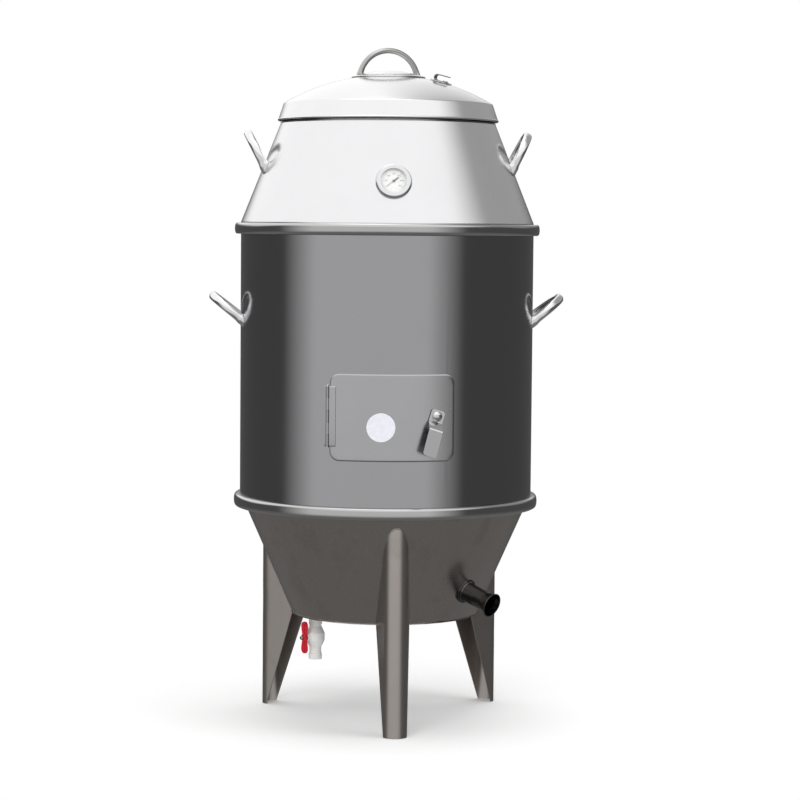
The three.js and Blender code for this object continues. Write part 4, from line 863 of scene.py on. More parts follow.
@dataclass
class Piece:
    """One visible piece: its surfaces become one mesh, which gets edges, a finish and a body."""

    name: str
    surfaces: list[Surface]
    body: str
    slot: str
    finish: Finish
    nodes: tuple[str, ...] = ()
    cuts: list[tuple[Cut, Surface]] = field(default_factory=list)
    bevel: float = 0.0
    sharp: float = 32.0

    def place(self) -> bpy.types.Object:
        """Build the piece, cut it, round its edges, dress it, and hang it on its body.

        Returns:
            The finished object.
        """
        piece = bpy.data.objects.new(self.name, self.mesh(self.name, self.surfaces))
        bpy.context.scene.collection.objects.link(piece)
        for cut, surface in self.cuts:
            self.apply_cut(piece, cut, surface)
        piece.data.polygons.foreach_set("use_smooth", np.ones(len(piece.data.polygons), bool))
        piece.data.set_sharp_from_angle(angle=radians(self.sharp))
        if self.bevel:
            edge = piece.modifiers.new("edge", "BEVEL")
            edge.width, edge.segments, edge.limit_method = self.bevel * MM, 2, "ANGLE"
            edge.angle_limit, edge.harden_normals = radians(BEVEL_ANGLE), True
        piece.data.materials.clear()
        piece.data.materials.append(material_of(self.finish))
        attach(piece, self.body)
        if self.nodes:
            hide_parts(*self.nodes)
        LOG.info("%s: %d faces on %s", self.name, len(piece.data.polygons), self.body)
        return piece

    @staticmethod
    def mesh(name: str, surfaces: list[Surface]) -> bpy.types.Mesh:
        """Turn surfaces into one mesh in metres, with doubled points merged.

        Args:
            name: The mesh's name.
            surfaces: The surfaces, each closed.

        Returns:
            The mesh.
        """
        points, faces, first = [], [], 0
        for surface in surfaces:
            points.append(surface.points * MM + AXIS)
            faces += [face for block in surface.blocks for face in (block + first).tolist()]
            first += len(surface.points)
        mesh = bpy.data.meshes.new(name)
        mesh.from_pydata(np.concatenate(points).tolist(), [], faces)
        work = bmesh.new()
        work.from_mesh(mesh)
        bmesh.ops.remove_doubles(work, verts=work.verts, dist=MERGE_DISTANCE)
        work.to_mesh(mesh)
        work.free()
        return mesh

    def apply_cut(self, piece: bpy.types.Object, cut: Cut, surface: Surface) -> None:
        """Cut a surface out of a piece, or add it, and keep the result as the piece's mesh."""
        tool = bpy.data.objects.new("tool", self.mesh("tool", [surface]))
        bpy.context.scene.collection.objects.link(tool)
        change = piece.modifiers.new("cut", "BOOLEAN")
        change.object, change.operation, change.solver = tool, cut.value, "EXACT"
        bpy.context.view_layer.update()
        seen = piece.evaluated_get(bpy.context.evaluated_depsgraph_get())
        result = bpy.data.meshes.new_from_object(seen)
        result.name = self.name
        piece.modifiers.clear()
        piece.data = result
        bpy.data.objects.remove(tool)


def dress(finish: Finish, *nodes: str) -> None:
    """Give a finish to CAD nodes that are shown as they are."""
    for name in nodes:
        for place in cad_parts[name].material_slots:
            place.material = material_of(finish)
        LOG.info("%s: kept from the frame", name)


# The oven's shared walls

BASE_WALL = Cone(236.3, 211.0, 477.7, 317.0)
BARREL_WALL = Cone(479.8, 330.0, 1089.8, 330.0)
HOOD_WALL = Cone(1116.9, 330.0, 1337.9, 242.0)


@dataclass(frozen=True)
class ArchedHandle:
    """An oval rod bent into an arch, both feet cut to the wall that it is welded to."""

    place: Frame
    height: float
    half_span: float = 67.0
    half_width: float = 9.5
    half_thickness: float = 6.2
    depth: float = 30.0
    flare: float = 0.22
    flare_run: float = 5.0

    @property
    def leg(self) -> float:
        """The straight part at each end, with what is sunk behind the foot."""
        return self.height - self.half_span + self.depth

    @property
    def length(self) -> float:
        """The whole centre line."""
        return 2.0 * self.leg + np.pi * self.half_span

    def point(self, reach: Array, angle: Array, foot: float) -> Array:
        """Return points of the rod's skin.

        The centre runs up the one leg, round a half circle and down the other. An oval stands
        square to it, and grows near the foot as e to the power of minus the distance.

        Args:
            reach: Distance along the centre line.
            angle: Angle round the oval.
            foot: Distance at which the centre line leaves the wall, at both ends.

        Returns:
            The points.
        """
        turn = np.clip((reach - self.leg) / self.half_span, 0.0, np.pi)
        short = np.maximum(self.leg - reach, 0.0) + np.maximum(reach - self.length + self.leg, 0.0)
        near = np.minimum(reach, self.length - reach) - foot
        grown = 1.0 + self.flare * np.exp(-np.maximum(near, 0.0) / self.flare_run)
        thick = self.half_thickness * grown * np.cos(angle)
        across = -(self.half_span + thick) * np.cos(turn)
        out = (self.height - self.half_span) - short + (self.half_span + thick) * np.sin(turn)
        return self.place.at(across, self.half_width * grown * np.sin(angle), out)

    def surface(self, clearance: Clearance) -> Surface:
        """Skin the part of the rod that lies outside a wall, with its feet on the wall."""
        middle = self.length / 2.0
        flat = lambda reach: self.point(reach, np.array(np.pi / 2.0), -1e3)
        foot = float(meeting(flat, 0.0, middle, clearance))
        angle = circle(28)
        first = meeting(lambda reach: self.point(reach, angle, foot), 0.0, middle, clearance)
        last = meeting(lambda reach: self.point(reach, angle, foot), self.length, middle, clearance)
        share = (1.0 - np.cos(np.linspace(0.0, np.pi, 73)))[:, None] / 2.0
        return lofted(self.point(first + (last - first) * share, angle, foot), Ends.CAPPED)


def side_handles(section: str, wall: Cone, height: float, tilt: float, reach: float) -> None:
    """Weld an arched handle to both sides of a section, tilted up by an angle in degrees."""
    for side, azimuth in (("right", 90.0), ("left", -90.0)):
        arch = ArchedHandle(wall.place(azimuth, height, tilt), reach).surface(wall.clearance())
        name = f"{section}_handle_{side}"
        Piece(f"{name}_rod", [arch], section, "hood_steel", HANDLE_STEEL, (name,)).place()


@dataclass(frozen=True)
class BeadedRing:
    """The rolled bead between two sections, with the flat ledge inside it."""

    bottom: float
    height: float
    ledge: float
    seat: float = 330.3
    bulge: float = 13.4
    flatness: float = 0.28

    def bead(self, bulge: float, half: float, start: float, end: float) -> Array:
        """Return the bead's line: a half ellipse, flattened by raising its cosine to a power."""
        angle = np.radians(np.linspace(start, end, 25))
        across = self.seat + bulge * np.maximum(np.cos(angle), 0.0) ** self.flatness
        return np.stack([across, self.bottom + self.height / 2.0 + half * np.sin(angle)], axis=-1)

    def surface(self) -> Surface:
        """Turn the bead, its inner face and the ledge round the axis."""
        half = self.height / 2.0
        return turned(joined(
            [self.ledge, self.bottom],
            self.bead(self.bulge, half, -90.0, 90.0),
            self.bead(self.bulge - SHEET, half - SHEET, 90.0, -90.0),
            [self.ledge, self.bottom + SHEET],
        ))


# Stand


@dataclass(frozen=True)
class FoldedLeg:
    """A channel of sheet with a round nose, cut to the base cone above and slanted below."""

    azimuth: float
    nose_reach: float = 309.0
    nose_radius: float = 27.0
    splay: float = 8.0
    wall: float = 2.5
    foot_depth: float = 20.0
    plate_edge: float = 213.3
    plate_height: float = 234.0
    weld: float = 1.5
    weld_rise: float = 8.0
    plan_end: float = 160.0

    @property
    def top(self) -> float:
        """The height at which the nose runs out on the cone."""
        return BASE_WALL.low + (self.nose_reach - BASE_WALL.radius_low) / BASE_WALL.slope

    def point(self, along: Array, height: Array, inset: Array | float = 0.0) -> Array:
        """Return points of the channel's skin.

        The plan is an arc about the nose, followed on both sides by straight cheeks that splay.

        Args:
            along: Distance round the plan from the middle of the nose.
            height: Height over the floor.
            inset: How far the points lie behind the outer face.

        Returns:
            The points.
        """
        angle, rest = self.bend(along)
        x = (self.nose_radius - inset) * np.sin(angle) + rest * np.cos(angle)
        y = (self.nose_reach - self.nose_radius) + (self.nose_radius - inset) * np.cos(angle)
        y = y - rest * np.sin(angle)
        return Frame.upright(turn=self.azimuth).at(x, -y, height)

    def bend(self, along: Array) -> tuple[Array, Array]:
        """Return the plan's direction at a distance, and how far along the cheek it lies."""
        limit = np.radians(90.0 - self.splay)
        angle = np.clip(along / self.nose_radius, -limit, limit)
        return angle, along - angle * self.nose_radius

    def outward(self, along: Array, height: Array) -> Array:
        """Return how far a point lies outside the cone and the slanted inner edge."""
        points = self.point(along, height)
        reach = points @ Frame.on_wall(self.azimuth, 0.0, 0.0).out
        foot = self.nose_reach - self.foot_depth
        slant = foot + (self.plate_edge - foot) * np.minimum(height / self.plate_height, 1.0)
        return np.minimum(reach - slant, BASE_WALL.clearance()(points))

    def edge(self, height: Array) -> Array:
        """Return how far round the plan the channel reaches at each height."""
        end = np.full_like(height, self.plan_end)
        return meeting(lambda along: along, end, 0.0, lambda along: self.outward(along, height))

    def surfaces(self) -> list[Surface]:
        """Skin the channel, thinned where it touches the cone, and run a weld along the joint."""
        height = self.top * (1.0 - (1.0 - np.linspace(0.0, 1.0, 90)) ** 2)
        reach = self.edge(height)
        share = np.sin(np.linspace(-0.5, 0.5, 41) * np.pi)
        along = reach[:, None] * share
        upright = np.broadcast_to(height[:, None], along.shape)
        outer = self.point(along, upright)
        wall = np.clip(BASE_WALL.clearance()(outer), 0.0, self.wall)
        inner = self.point(along, upright, np.where(upright < self.plate_height, self.wall, wall))
        joint = height > BASE_WALL.low + self.weld_rise
        left, right = outer[joint, 0], outer[joint, -1]
        line = resampled(np.concatenate([left, right[::-1]]), np.linspace(0.0, 1.0, 90))
        away = unit(line * [1.0, 1.0, 0.0])
        side = unit(np.cross(unit(np.gradient(line, axis=0)), away))
        weld = tube(line, side, away, self.weld, self.weld, 8)
        return [thickened(outer, inner), weld]


@dataclass(frozen=True)
class AirPipe:
    """The short pipe that lets air in to the fire, with a flared mouth and a collar."""

    place: Frame = BASE_WALL.place(46.0, 304.0, -18.0)
    radius: float = 21.5
    length: float = 80.0
    mouth: float = 27.0
    flare: float = 16.0
    collar: float = 28.0
    collar_height: float = 4.0
    collar_edge: float = 1.2
    weld: float = 2.5
    flare_bend: float = 40.0
    lip: Pair = (1.3, 1.1)
    spigot: float = 10.0
    sides: int = 72

    def hole(self) -> tuple[Cut, Surface]:
        """Return the round hole that the base cone has for the pipe."""
        return bored(self.place, self.radius + SEAT_GAP, self.sides)

    def surface(self) -> Surface:
        """Turn the pipe's wall; the two rows under the collar follow the cone, not a level."""
        start = self.length - self.flare
        outside = [
            [self.collar - self.collar_edge, self.collar_height],
            [self.radius + 2.0, self.collar_height],
            [self.radius, self.collar_height + self.weld],
            [self.radius, start],
            [self.mouth - 0.8, self.length - 2.0],
        ]
        bend = filleted(outside[1:], [self.weld, self.flare_bend], 8)
        lip = arc((self.mouth - 0.9, self.length - self.lip[1]), self.lip, -60.0, 180.0, 8)
        bore = filleted([
            [self.mouth - 2.4, self.length - 3.0],
            [self.radius - SHEET, start],
            [self.radius - SHEET, -self.spigot],
        ], self.flare_bend, 8)
        rows = joined(outside[0], bend, lip, bore, [self.radius, -self.spigot])
        radius = np.concatenate([rows[:, 0], [self.radius, self.collar, self.collar]])[:, None]
        level = np.broadcast_to(rows[:, 1:], (len(rows), self.sides))
        skirt, inner = [seat(self.place, foot, self.sides, BASE_WALL)
                        for foot in (self.collar, self.radius)]
        edge = np.maximum(self.collar_height - self.collar_edge, skirt + 0.2)
        level = joined(level, inner, skirt, edge)
        return lofted(self.place.around(radius, circle(self.sides), level), Ends.JOINED)


@dataclass(frozen=True)
class Stand:
    """The base cone on its three legs, the ring on its rim and the air pipe in its side."""

    turn: float = 2.5
    ring: BeadedRing = BeadedRing(478.0, 27.0, 305.0)
    pipe: AirPipe = AirPipe()

    def build(self) -> None:
        """Place the stand's pieces."""
        wall = SHEET * np.hypot(1.0, BASE_WALL.slope)
        low, high = BASE_WALL.low, BASE_WALL.high
        heights = np.linspace(low, high, 13)
        outer = np.stack([BASE_WALL.radius(heights), heights], axis=-1)
        shell = turned(joined(outer, (outer - [wall, 0.0])[::-1]))
        Piece("base_cone_sheet", [shell], "base", "base_steel", BASE_STEEL, ("base_cone",),
              [self.pipe.hole()]).place()
        for i, name in enumerate(("leg_front", "leg_right", "leg_left")):
            leg = FoldedLeg(self.turn + 120.0 * i)
            Piece(f"{name}_sheet", leg.surfaces(), "base", "base_steel", LEG_STEEL, (name,)).place()
        Piece("lower_ring_bead", [self.ring.surface()], "base", "base_steel", RING_STEEL,
              ("lower_ring",)).place()
        Piece("air_pipe_tube", [self.pipe.surface()], "base", "inner_steel", SMOKED_STEEL,
              ("air_pipe",)).place()
        dress(BASE_STEEL, "base_bottom")


# Drain valve


@dataclass(frozen=True)
class DrainValve:
    """The ball valve under the base: a plastic body with two sockets and a red butterfly handle."""

    place: Frame = Frame.on_wall(-70.0, 168.0, 185.0)
    stem_azimuth: float = -52.5
    top: float = 41.0
    bottom: float = 51.0
    socket: float = 15.0
    socket_length: float = 13.0
    socket_depth: float = 12.0
    neck: float = 13.4
    neck_reach: float = 24.0
    bulge: float = 21.0
    bore: float = 8.0
    chamber: float = 14.3
    pipe: float = 10.8
    boss: float = 9.0
    boss_reach: float = 27.0
    stem_hole: float = 4.3
    hole_end: float = 47.0
    handle_reach: float = 36.0
    wing: float = 10.0
    waist: float = 6.0
    wing_wall: float = 4.0
    wing_lift: float = 1.5
    hub: float = 8.5
    hub_height: float = 8.0
    stem_tail: float = 12.0
    rib: float = 3.0
    bevel: float = 0.7
    sides: int = 48
    body_sides: int = 72
    screw: float = 4.5
    screw_height: float = 3.0
    screw_slot: float = 0.8
    screw_floor: float = 1.6
    step: float = 1.5
    belly: float = 8.0
    fillets: tuple[float, ...] = (0.8, 1.2, 0.6, 4.0, 7.0)

    @property
    def upright(self) -> Frame:
        """The frame at the ball's centre whose outward line is the valve's own, straight up."""
        return Frame.upright(*self.place.origin)

    @property
    def stem(self) -> Frame:
        """The frame at the ball's centre whose outward line is the stem's."""
        return replace(Frame.on_wall(self.stem_azimuth, 0.0, 0.0), origin=self.place.origin)

    def body(self) -> Surface:
        """Turn the body's outside and its bore, with the round chamber of the ball between."""
        end, low = self.top - self.socket_length, -self.bottom + self.socket_length
        outside = filleted([
            [self.pipe, -self.bottom],
            [self.socket, -self.bottom],
            [self.socket, low],
            [self.neck, low + self.step],
            [self.neck, -self.neck_reach],
            [self.bulge, -self.belly],
            [self.bulge, self.belly],
            [self.neck, self.neck_reach],
            [self.neck, end - self.step],
            [self.socket, end],
            [self.socket, self.top],
            [self.pipe, self.top],
        ], self.fillets + self.fillets[::-1], 5)
        half = degrees(asin(self.bore / self.chamber))
        ball = arc((0.0, 0.0), (self.chamber, self.chamber), 90.0 - half, -90.0 + half, 16)
        above, below = self.top - self.socket_depth, self.socket_depth - self.bottom
        return turned(joined(
            outside, [self.pipe, above], [self.bore, above], ball, [self.bore, below],
            [self.pipe, below],
        ), self.upright, self.body_sides)

    def wings(self) -> Array:
        """Return the handle's outline: two round lobes joined by a waist.

        The half width follows the waist near the hub and swells with a smooth step to the lobe,
        whose end is half a circle.
        """
        lobe = self.handle_reach - self.wing
        share = np.linspace(-1.0, 1.0, 25)
        swell = np.abs(share) ** 2 * (3.0 - 2.0 * np.abs(share))
        side = np.stack([self.waist + (self.wing - self.waist) * swell, share * lobe], axis=-1)
        end = arc((0.0, lobe), (self.wing, self.wing), 0.0, 180.0, 20)[1:-1]
        return joined(side, end, -side, -end)

    def build(self) -> None:
        """Place the valve's pieces."""
        boss = column(self.stem, self.boss, 0.0, self.boss_reach, self.sides, 1.0)
        hole = bored(self.stem, self.stem_hole, self.sides, 0.0, self.hole_end)
        ball = arc((0.0, 0.0), (self.chamber, self.chamber), -90.0, 90.0, 24)
        chamber = turned(joined(ball, [0.0, 0.0]), self.upright, self.body_sides)
        cuts = [(Cut.JOINED, boss), (Cut.AWAY, chamber), hole]
        Piece("drain_valve_body", [self.body()], "base", "white_plastic", WHITE_PLASTIC,
              ("valve_body",), cuts).place()
        low = self.boss_reach + SEAT_GAP
        under = low + self.wing_lift
        plate = prism(self.wings(), under, under + self.wing_wall, self.stem)
        hub = column(self.stem, self.hub, low, low + self.hub_height, self.sides, 1.2)
        rib = prism(rounded_rectangle(self.rib, 2.0 * self.handle_reach - 3.0 * self.rib, 1.4),
                    under, low + self.hub_height - 1.0, self.stem)
        Piece("drain_valve_handle", [plate], "valve", "red_plastic", RED_PLASTIC, ("valve_handle",),
              [(Cut.JOINED, rib), (Cut.JOINED, hub), hole], self.bevel).place()
        top = self.boss_reach + self.stem_tail + SEAT_GAP
        head, height, floor = self.screw, top + self.screw_height, top + self.screw_floor
        slot = self.screw_slot
        line = filleted([[head - 0.3, top], [head, height - 0.4], [slot, height]], 1.2, 6)
        line = joined(line, [slot, floor], [0.0, floor], [0.0, top])
        Piece("drain_valve_screw", [turned(line, self.stem, 32)], "valve", "base_steel",
              FITTING_STEEL, ("valve_screw",)).place()
        dress(WHITE_PLASTIC, "valve_ball")
        dress(BRASS, "valve_stem")
        dress(BASE_STEEL, "drain_pipe")


# Barrel


def drum_sheet(width: float, height: float, corner: float, middle: float, inner: float,
               outer: float) -> Surface:
    """Bend a round-cornered sheet with a softly turned edge round the oven's front.

    Its plan position x runs straight across, y = -sqrt(radius squared - x squared), and the half
    height shrinks along a quarter circle at both sides. Within EDGE_WIDTH of the outline, the face
    drops back by EDGE_DROP times (1 - distance / EDGE_WIDTH) squared.

    Args:
        width: Distance straight across from side to side.
        height: Distance from bottom to top.
        corner: The corners' radius.
        middle: The height of the sheet's centre.
        inner: The radius of its back.
        outer: The radius of its face.

    Returns:
        The closed surface.
    """
    turn = np.radians(np.linspace(90.0, 0.0, 13))
    side = width / 2.0 - corner + corner * np.cos(turn)
    bend = height / 2.0 - corner + corner * np.sin(turn)
    flat = np.linspace(-side[0], side[0], 49)[1:-1]
    across = np.concatenate([-side[::-1], flat, side])
    half = np.concatenate([bend[::-1], np.full(len(flat), height / 2.0), bend])
    near = 1.0 - np.linspace(0.0, 1.0, 8) ** 1.3 * EDGE_WIDTH * 2.0 / height
    share = np.concatenate([-near, np.linspace(-near[-1], near[-1], 20)[1:-1], near[::-1]])[:, None]
    level = half * share
    across = np.broadcast_to(across, level.shape)
    past_side = np.abs(across) - (width / 2.0 - corner)
    past_end = np.abs(level) - (height / 2.0 - corner)
    outside = np.hypot(np.maximum(past_side, 0.0), np.maximum(past_end, 0.0))
    depth = corner - outside - np.minimum(np.maximum(past_side, past_end), 0.0)
    radius = outer - EDGE_DROP * np.clip(1.0 - depth / EDGE_WIDTH, 0.0, 1.0) ** 2
    return thickened(*(on_drum(across, middle + level, reach) for reach in (radius, inner)))


@dataclass(frozen=True)
class Barrel:
    """The drum's outer sheet with its door opening, the upper ring and two handles."""

    opening_width: float = 246.0
    opening_height: float = 158.0
    opening_corner: float = 12.0
    opening_middle: float = 699.0
    ring: BeadedRing = BeadedRing(1090.1, 25.0, 298.8)
    handle_height: float = 902.0
    handle_tilt: float = 38.0
    handle_reach: float = 79.9

    def build(self) -> None:
        """Place the barrel's pieces."""
        outer = BARREL_WALL.radius_low
        low, high = BARREL_WALL.low, BARREL_WALL.high
        shell = turned(slab(outer - SHEET, outer, low, high))
        outline = rounded_rectangle(self.opening_width, self.opening_height, self.opening_corner,
                                    self.opening_middle)
        opening = prism(outline, outer / 2.0, outer + 20.0, Frame.on_wall(0.0, 0.0, 0.0))
        Piece("barrel_sheet", [shell], "barrel", "barrel_steel", BARREL_STEEL, ("barrel_shell",),
              [(Cut.AWAY, opening)]).place()
        Piece("upper_ring_bead", [self.ring.surface()], "barrel", "barrel_steel", RING_STEEL,
              ("upper_ring",)).place()
        side_handles("barrel", BARREL_WALL, self.handle_height, self.handle_tilt, self.handle_reach)
        dress(INNER_STEEL, "barrel_liner_front", "barrel_liner_back", "barrel_foot_ring",
              "door_frame", "hook_ledge", "hook_ring")
        dress(WOOL, "barrel_insulation")


# Fuel door


@dataclass(frozen=True)
class Hinge:
    """A butt hinge at the door's left edge: two leaves whose knuckles take turns round one pin."""

    side: float = 139.2
    reach: float = 333.8
    bottom: float = 636.0
    height: float = 130.0
    knuckle: float = 3.5
    count: int = 5
    gap: float = 0.4
    pin: float = 1.8
    leaf: float = 1.5
    head: float = 3.1
    head_height: float = 2.5
    head_rim: float = 1.4
    head_slope: float = 1.2
    soft_edge: float = 2.4
    broken: float = 0.35
    tab: float = 2.4
    sides: int = 40

    @property
    def azimuth(self) -> float:
        """Where round the oven the pin stands."""
        return -degrees(asin(self.side / self.reach))

    @property
    def axis(self) -> Frame:
        """The frame at the foot of the pin whose outward line is the pin's."""
        foot = Frame.on_wall(self.azimuth, self.reach, self.bottom).origin
        return Frame.upright(*foot)

    def plate(self, inner: float, near: float, far: float, low: float, high: float) -> Surface:
        """Bend one flat of a leaf round the barrel: the azimuth grows by distance over radius.

        Args:
            inner: The radius of its back.
            near: Distance from the pin at which it starts, counted to the right.
            far: Distance at which it ends.
            low: Height over the hinge's foot.
            high: Height of its upper edge.

        Returns:
            The closed surface.
        """
        turn = np.radians(self.azimuth) + np.linspace(near, far, 7) / inner
        inset = self.soft_edge * np.linspace(0.0, 1.0, 5)
        level = self.bottom + np.concatenate([low + inset, high - inset[::-1]])[:, None]
        drop = EDGE_DROP * (1.0 - inset / self.soft_edge) ** 2
        outer = inner + self.leaf - np.concatenate([drop, drop[::-1]])[:, None]
        level = np.broadcast_to(level, (len(level), len(turn)))
        return thickened(*(np.stack([reach * np.sin(turn), -reach * np.cos(turn), level], axis=-1)
                           for reach in (outer, np.full_like(outer, inner))))

    def barrel_of(self, low: float, high: float) -> Surface:
        """Turn one knuckle round the pin, with a small chamfer at both ends."""
        ring = broken_slab(self.pin + SEAT_GAP, self.knuckle, low, high, self.broken)
        return turned(ring, self.axis, self.sides)

    def leaf_surfaces(self, inner: float, width: float, first: int) -> list[Surface]:
        """Return a leaf: its flat, and each of its own knuckles with a tab that joins them."""
        pitch, sign = self.height / self.count, float(np.sign(width))
        start = sign * (self.knuckle + self.gap + 0.1)
        surfaces = [self.plate(inner, start, width, 0.0, self.height)]
        for i in range(first, self.count, 2):
            low, high = pitch * i + self.gap / 2.0, pitch * (i + 1) - self.gap / 2.0
            tab = self.plate(inner, sign * self.tab, start, low, high)
            surfaces += [self.barrel_of(low, high), tab]
        return surfaces

    def pin_surface(self) -> Surface:
        """Turn the pin with the round head on its top."""
        low, head = -self.head_height, self.height + SEAT_GAP
        top = head + self.head_height
        return turned([
            [0.0, low], [self.pin, low], [self.pin, head], [self.head, head],
            [self.head, head + self.head_rim], [self.head - self.head_slope, top], [0.0, top],
        ], self.axis, self.sides)


@dataclass(frozen=True)
class Latch:
    """The turning latch: a domed bolt through the door, a washer and a lever bent from strip."""

    side: float = 95.0
    height: float = 703.0
    roll: float = -18.0
    face: float = 331.8
    shank: float = 5.0
    head: float = 11.0
    head_height: float = 7.0
    washer: float = 13.0
    washer_wall: float = 1.5
    strip: float = 2.5
    width: float = 31.0
    corner: float = 6.0
    line: tuple[Pair, ...] = ((-88.0, 28.0), (-30.0, 20.0), (-13.0, 0.0), (14.0, 0.0))
    bends: Pair = (5.0, 4.0)
    tail: float = 282.5
    broken: float = 0.3
    bevel: float = 0.35
    hole_ends: Pair = (250.0, 345.0)
    sides: int = 56

    @property
    def place(self) -> Frame:
        """The frame on the oven's axis whose outward line is the bolt's."""
        azimuth = degrees(asin(self.side / self.face))
        return Frame.on_wall(azimuth, 0.0, self.height).rolled(self.roll)

    @property
    def seat(self) -> float:
        """Where the lever lies on the washer."""
        return self.face + SEAT_GAP + self.washer_wall + SEAT_GAP

    def hole(self) -> tuple[Cut, Surface]:
        """Return the hole that the door and the lever have for the bolt."""
        return bored(self.place, self.shank + 2.0 * SEAT_GAP, 40, *self.hole_ends)

    def lever(self) -> Surface:
        """Bend the strip: its line is offset by the wall, and its width follows the end corners.

        Within a corner's radius of an end, the half width is less by radius minus
        sqrt(radius squared - (radius - distance to the end) squared).
        """
        line = filleted(self.line, self.bends, 8)
        length = float(np.linalg.norm(np.diff(line, axis=0), axis=1).sum())
        ends = (1.0 - np.cos(np.linspace(0.0, np.pi / 2.0, 9))) * self.corner / length
        inner = np.linspace(ends[-1], 1.0 - ends[-1], 60)[1:-1]
        shares = np.concatenate([ends, inner, 1.0 - ends[::-1]])
        line = resampled(line, shares)
        near = np.minimum(shares, 1.0 - shares) * length
        short = self.corner - np.minimum(near, self.corner)
        half = self.width / 2.0 - self.corner + np.sqrt(self.corner ** 2 - short ** 2)
        across = half[:, None] * np.linspace(-1.0, 1.0, 13)
        back, front = [self.place.at(across, side[:, :1], self.seat + side[:, 1:])
                       for side in (line, offset_line(line, self.strip))]
        return thickened(front, back)

    def bolt(self) -> Surface:
        """Turn the shank and its domed head."""
        under = self.seat + self.strip + SEAT_GAP
        dome = arc((0.0, under), (self.head, self.head_height), 8.0, 90.0, 14)
        return turned(joined(
            [0.0, self.tail], [self.shank, self.tail], [self.shank, under],
            [self.head - 0.4, under], dome[:-1], [0.0, under + self.head_height],
        ), self.place, self.sides)

    def washer_surface(self) -> Surface:
        """Turn the washer, its outer edges broken."""
        low, hole = self.face + SEAT_GAP, self.shank + 2.0 * SEAT_GAP
        ring = broken_slab(hole, self.washer, low, low + self.washer_wall, self.broken)
        return turned(ring, self.place, self.sides)


@dataclass(frozen=True)
class FuelDoor:
    """The curved door in the barrel's front with its hinge, its latch and a round blank plate."""

    width: float = 268.0
    height: float = 188.0
    corner: float = 20.0
    middle: float = 699.0
    inner: float = 330.3
    disc: float = 31.0
    disc_side: float = -25.0
    disc_height: float = 679.0
    disc_wall: float = 0.5
    frame_leaf: float = -8.0
    door_leaf: float = 18.0
    hinge: Hinge = Hinge()
    latch: Latch = Latch()

    def disc_surface(self) -> Surface:
        """Lay a round plate on the door: circles about its centre, at the door's radius."""
        angle, radius = circle(72), np.linspace(0.3, self.disc, 12)[:, None]
        across = self.disc_side + radius * np.cos(angle)
        level = self.disc_height + radius * np.sin(angle)
        base = self.inner + SHEET + SEAT_GAP
        face, back = [on_drum(across, level, reach) for reach in (base + self.disc_wall, base)]
        return lofted(np.concatenate([face, back[::-1]]), Ends.CAPPED)

    def build(self) -> None:
        """Place the door's pieces."""
        hinge, latch, outer = self.hinge, self.latch, self.inner + SHEET
        sheet = drum_sheet(self.width, self.height, self.corner, self.middle, self.inner, outer)
        hole = [latch.hole()]
        Piece("fuel_door_sheet", [sheet], "door", "hood_steel", DOOR_STEEL, ("door_panel",),
              hole).place()
        Piece("fuel_door_disc", [self.disc_surface()], "door", "white_paint", LABEL_WHITE,
              ("door_disc",)).place()
        still = hinge.leaf_surfaces(self.inner, self.frame_leaf, 0)
        Piece("hinge_frame_leaf", still, "barrel", "barrel_steel", BARREL_STEEL,
              ("frame_hinge_leaf",)).place()
        swung = hinge.leaf_surfaces(outer + SEAT_GAP, self.door_leaf, 1)
        Piece("hinge_door_leaf", swung, "door", "hood_steel", DOOR_STEEL,
              ("door_hinge_leaf",)).place()
        Piece("hinge_pin_rod", [hinge.pin_surface()], "barrel", "barrel_steel", FITTING_STEEL,
              ("hinge_pin",)).place()
        Piece("latch_lever_strip", [latch.lever()], "latch", "hood_steel", FITTING_STEEL,
              ("latch_lever",), hole, latch.bevel).place()
        Piece("latch_bolt_domed", [latch.bolt()], "latch", "hood_steel", FITTING_STEEL,
              ("latch_bolt",)).place()
        Piece("latch_washer_round", [latch.washer_surface()], "latch", "hood_steel", FITTING_STEEL,
              ("latch_washer",)).place()
        dress(INNER_STEEL, "door_pan", "latch_tongue", "latch_nut")
        dress(WOOL, "door_insulation")


# Hood and thermometer


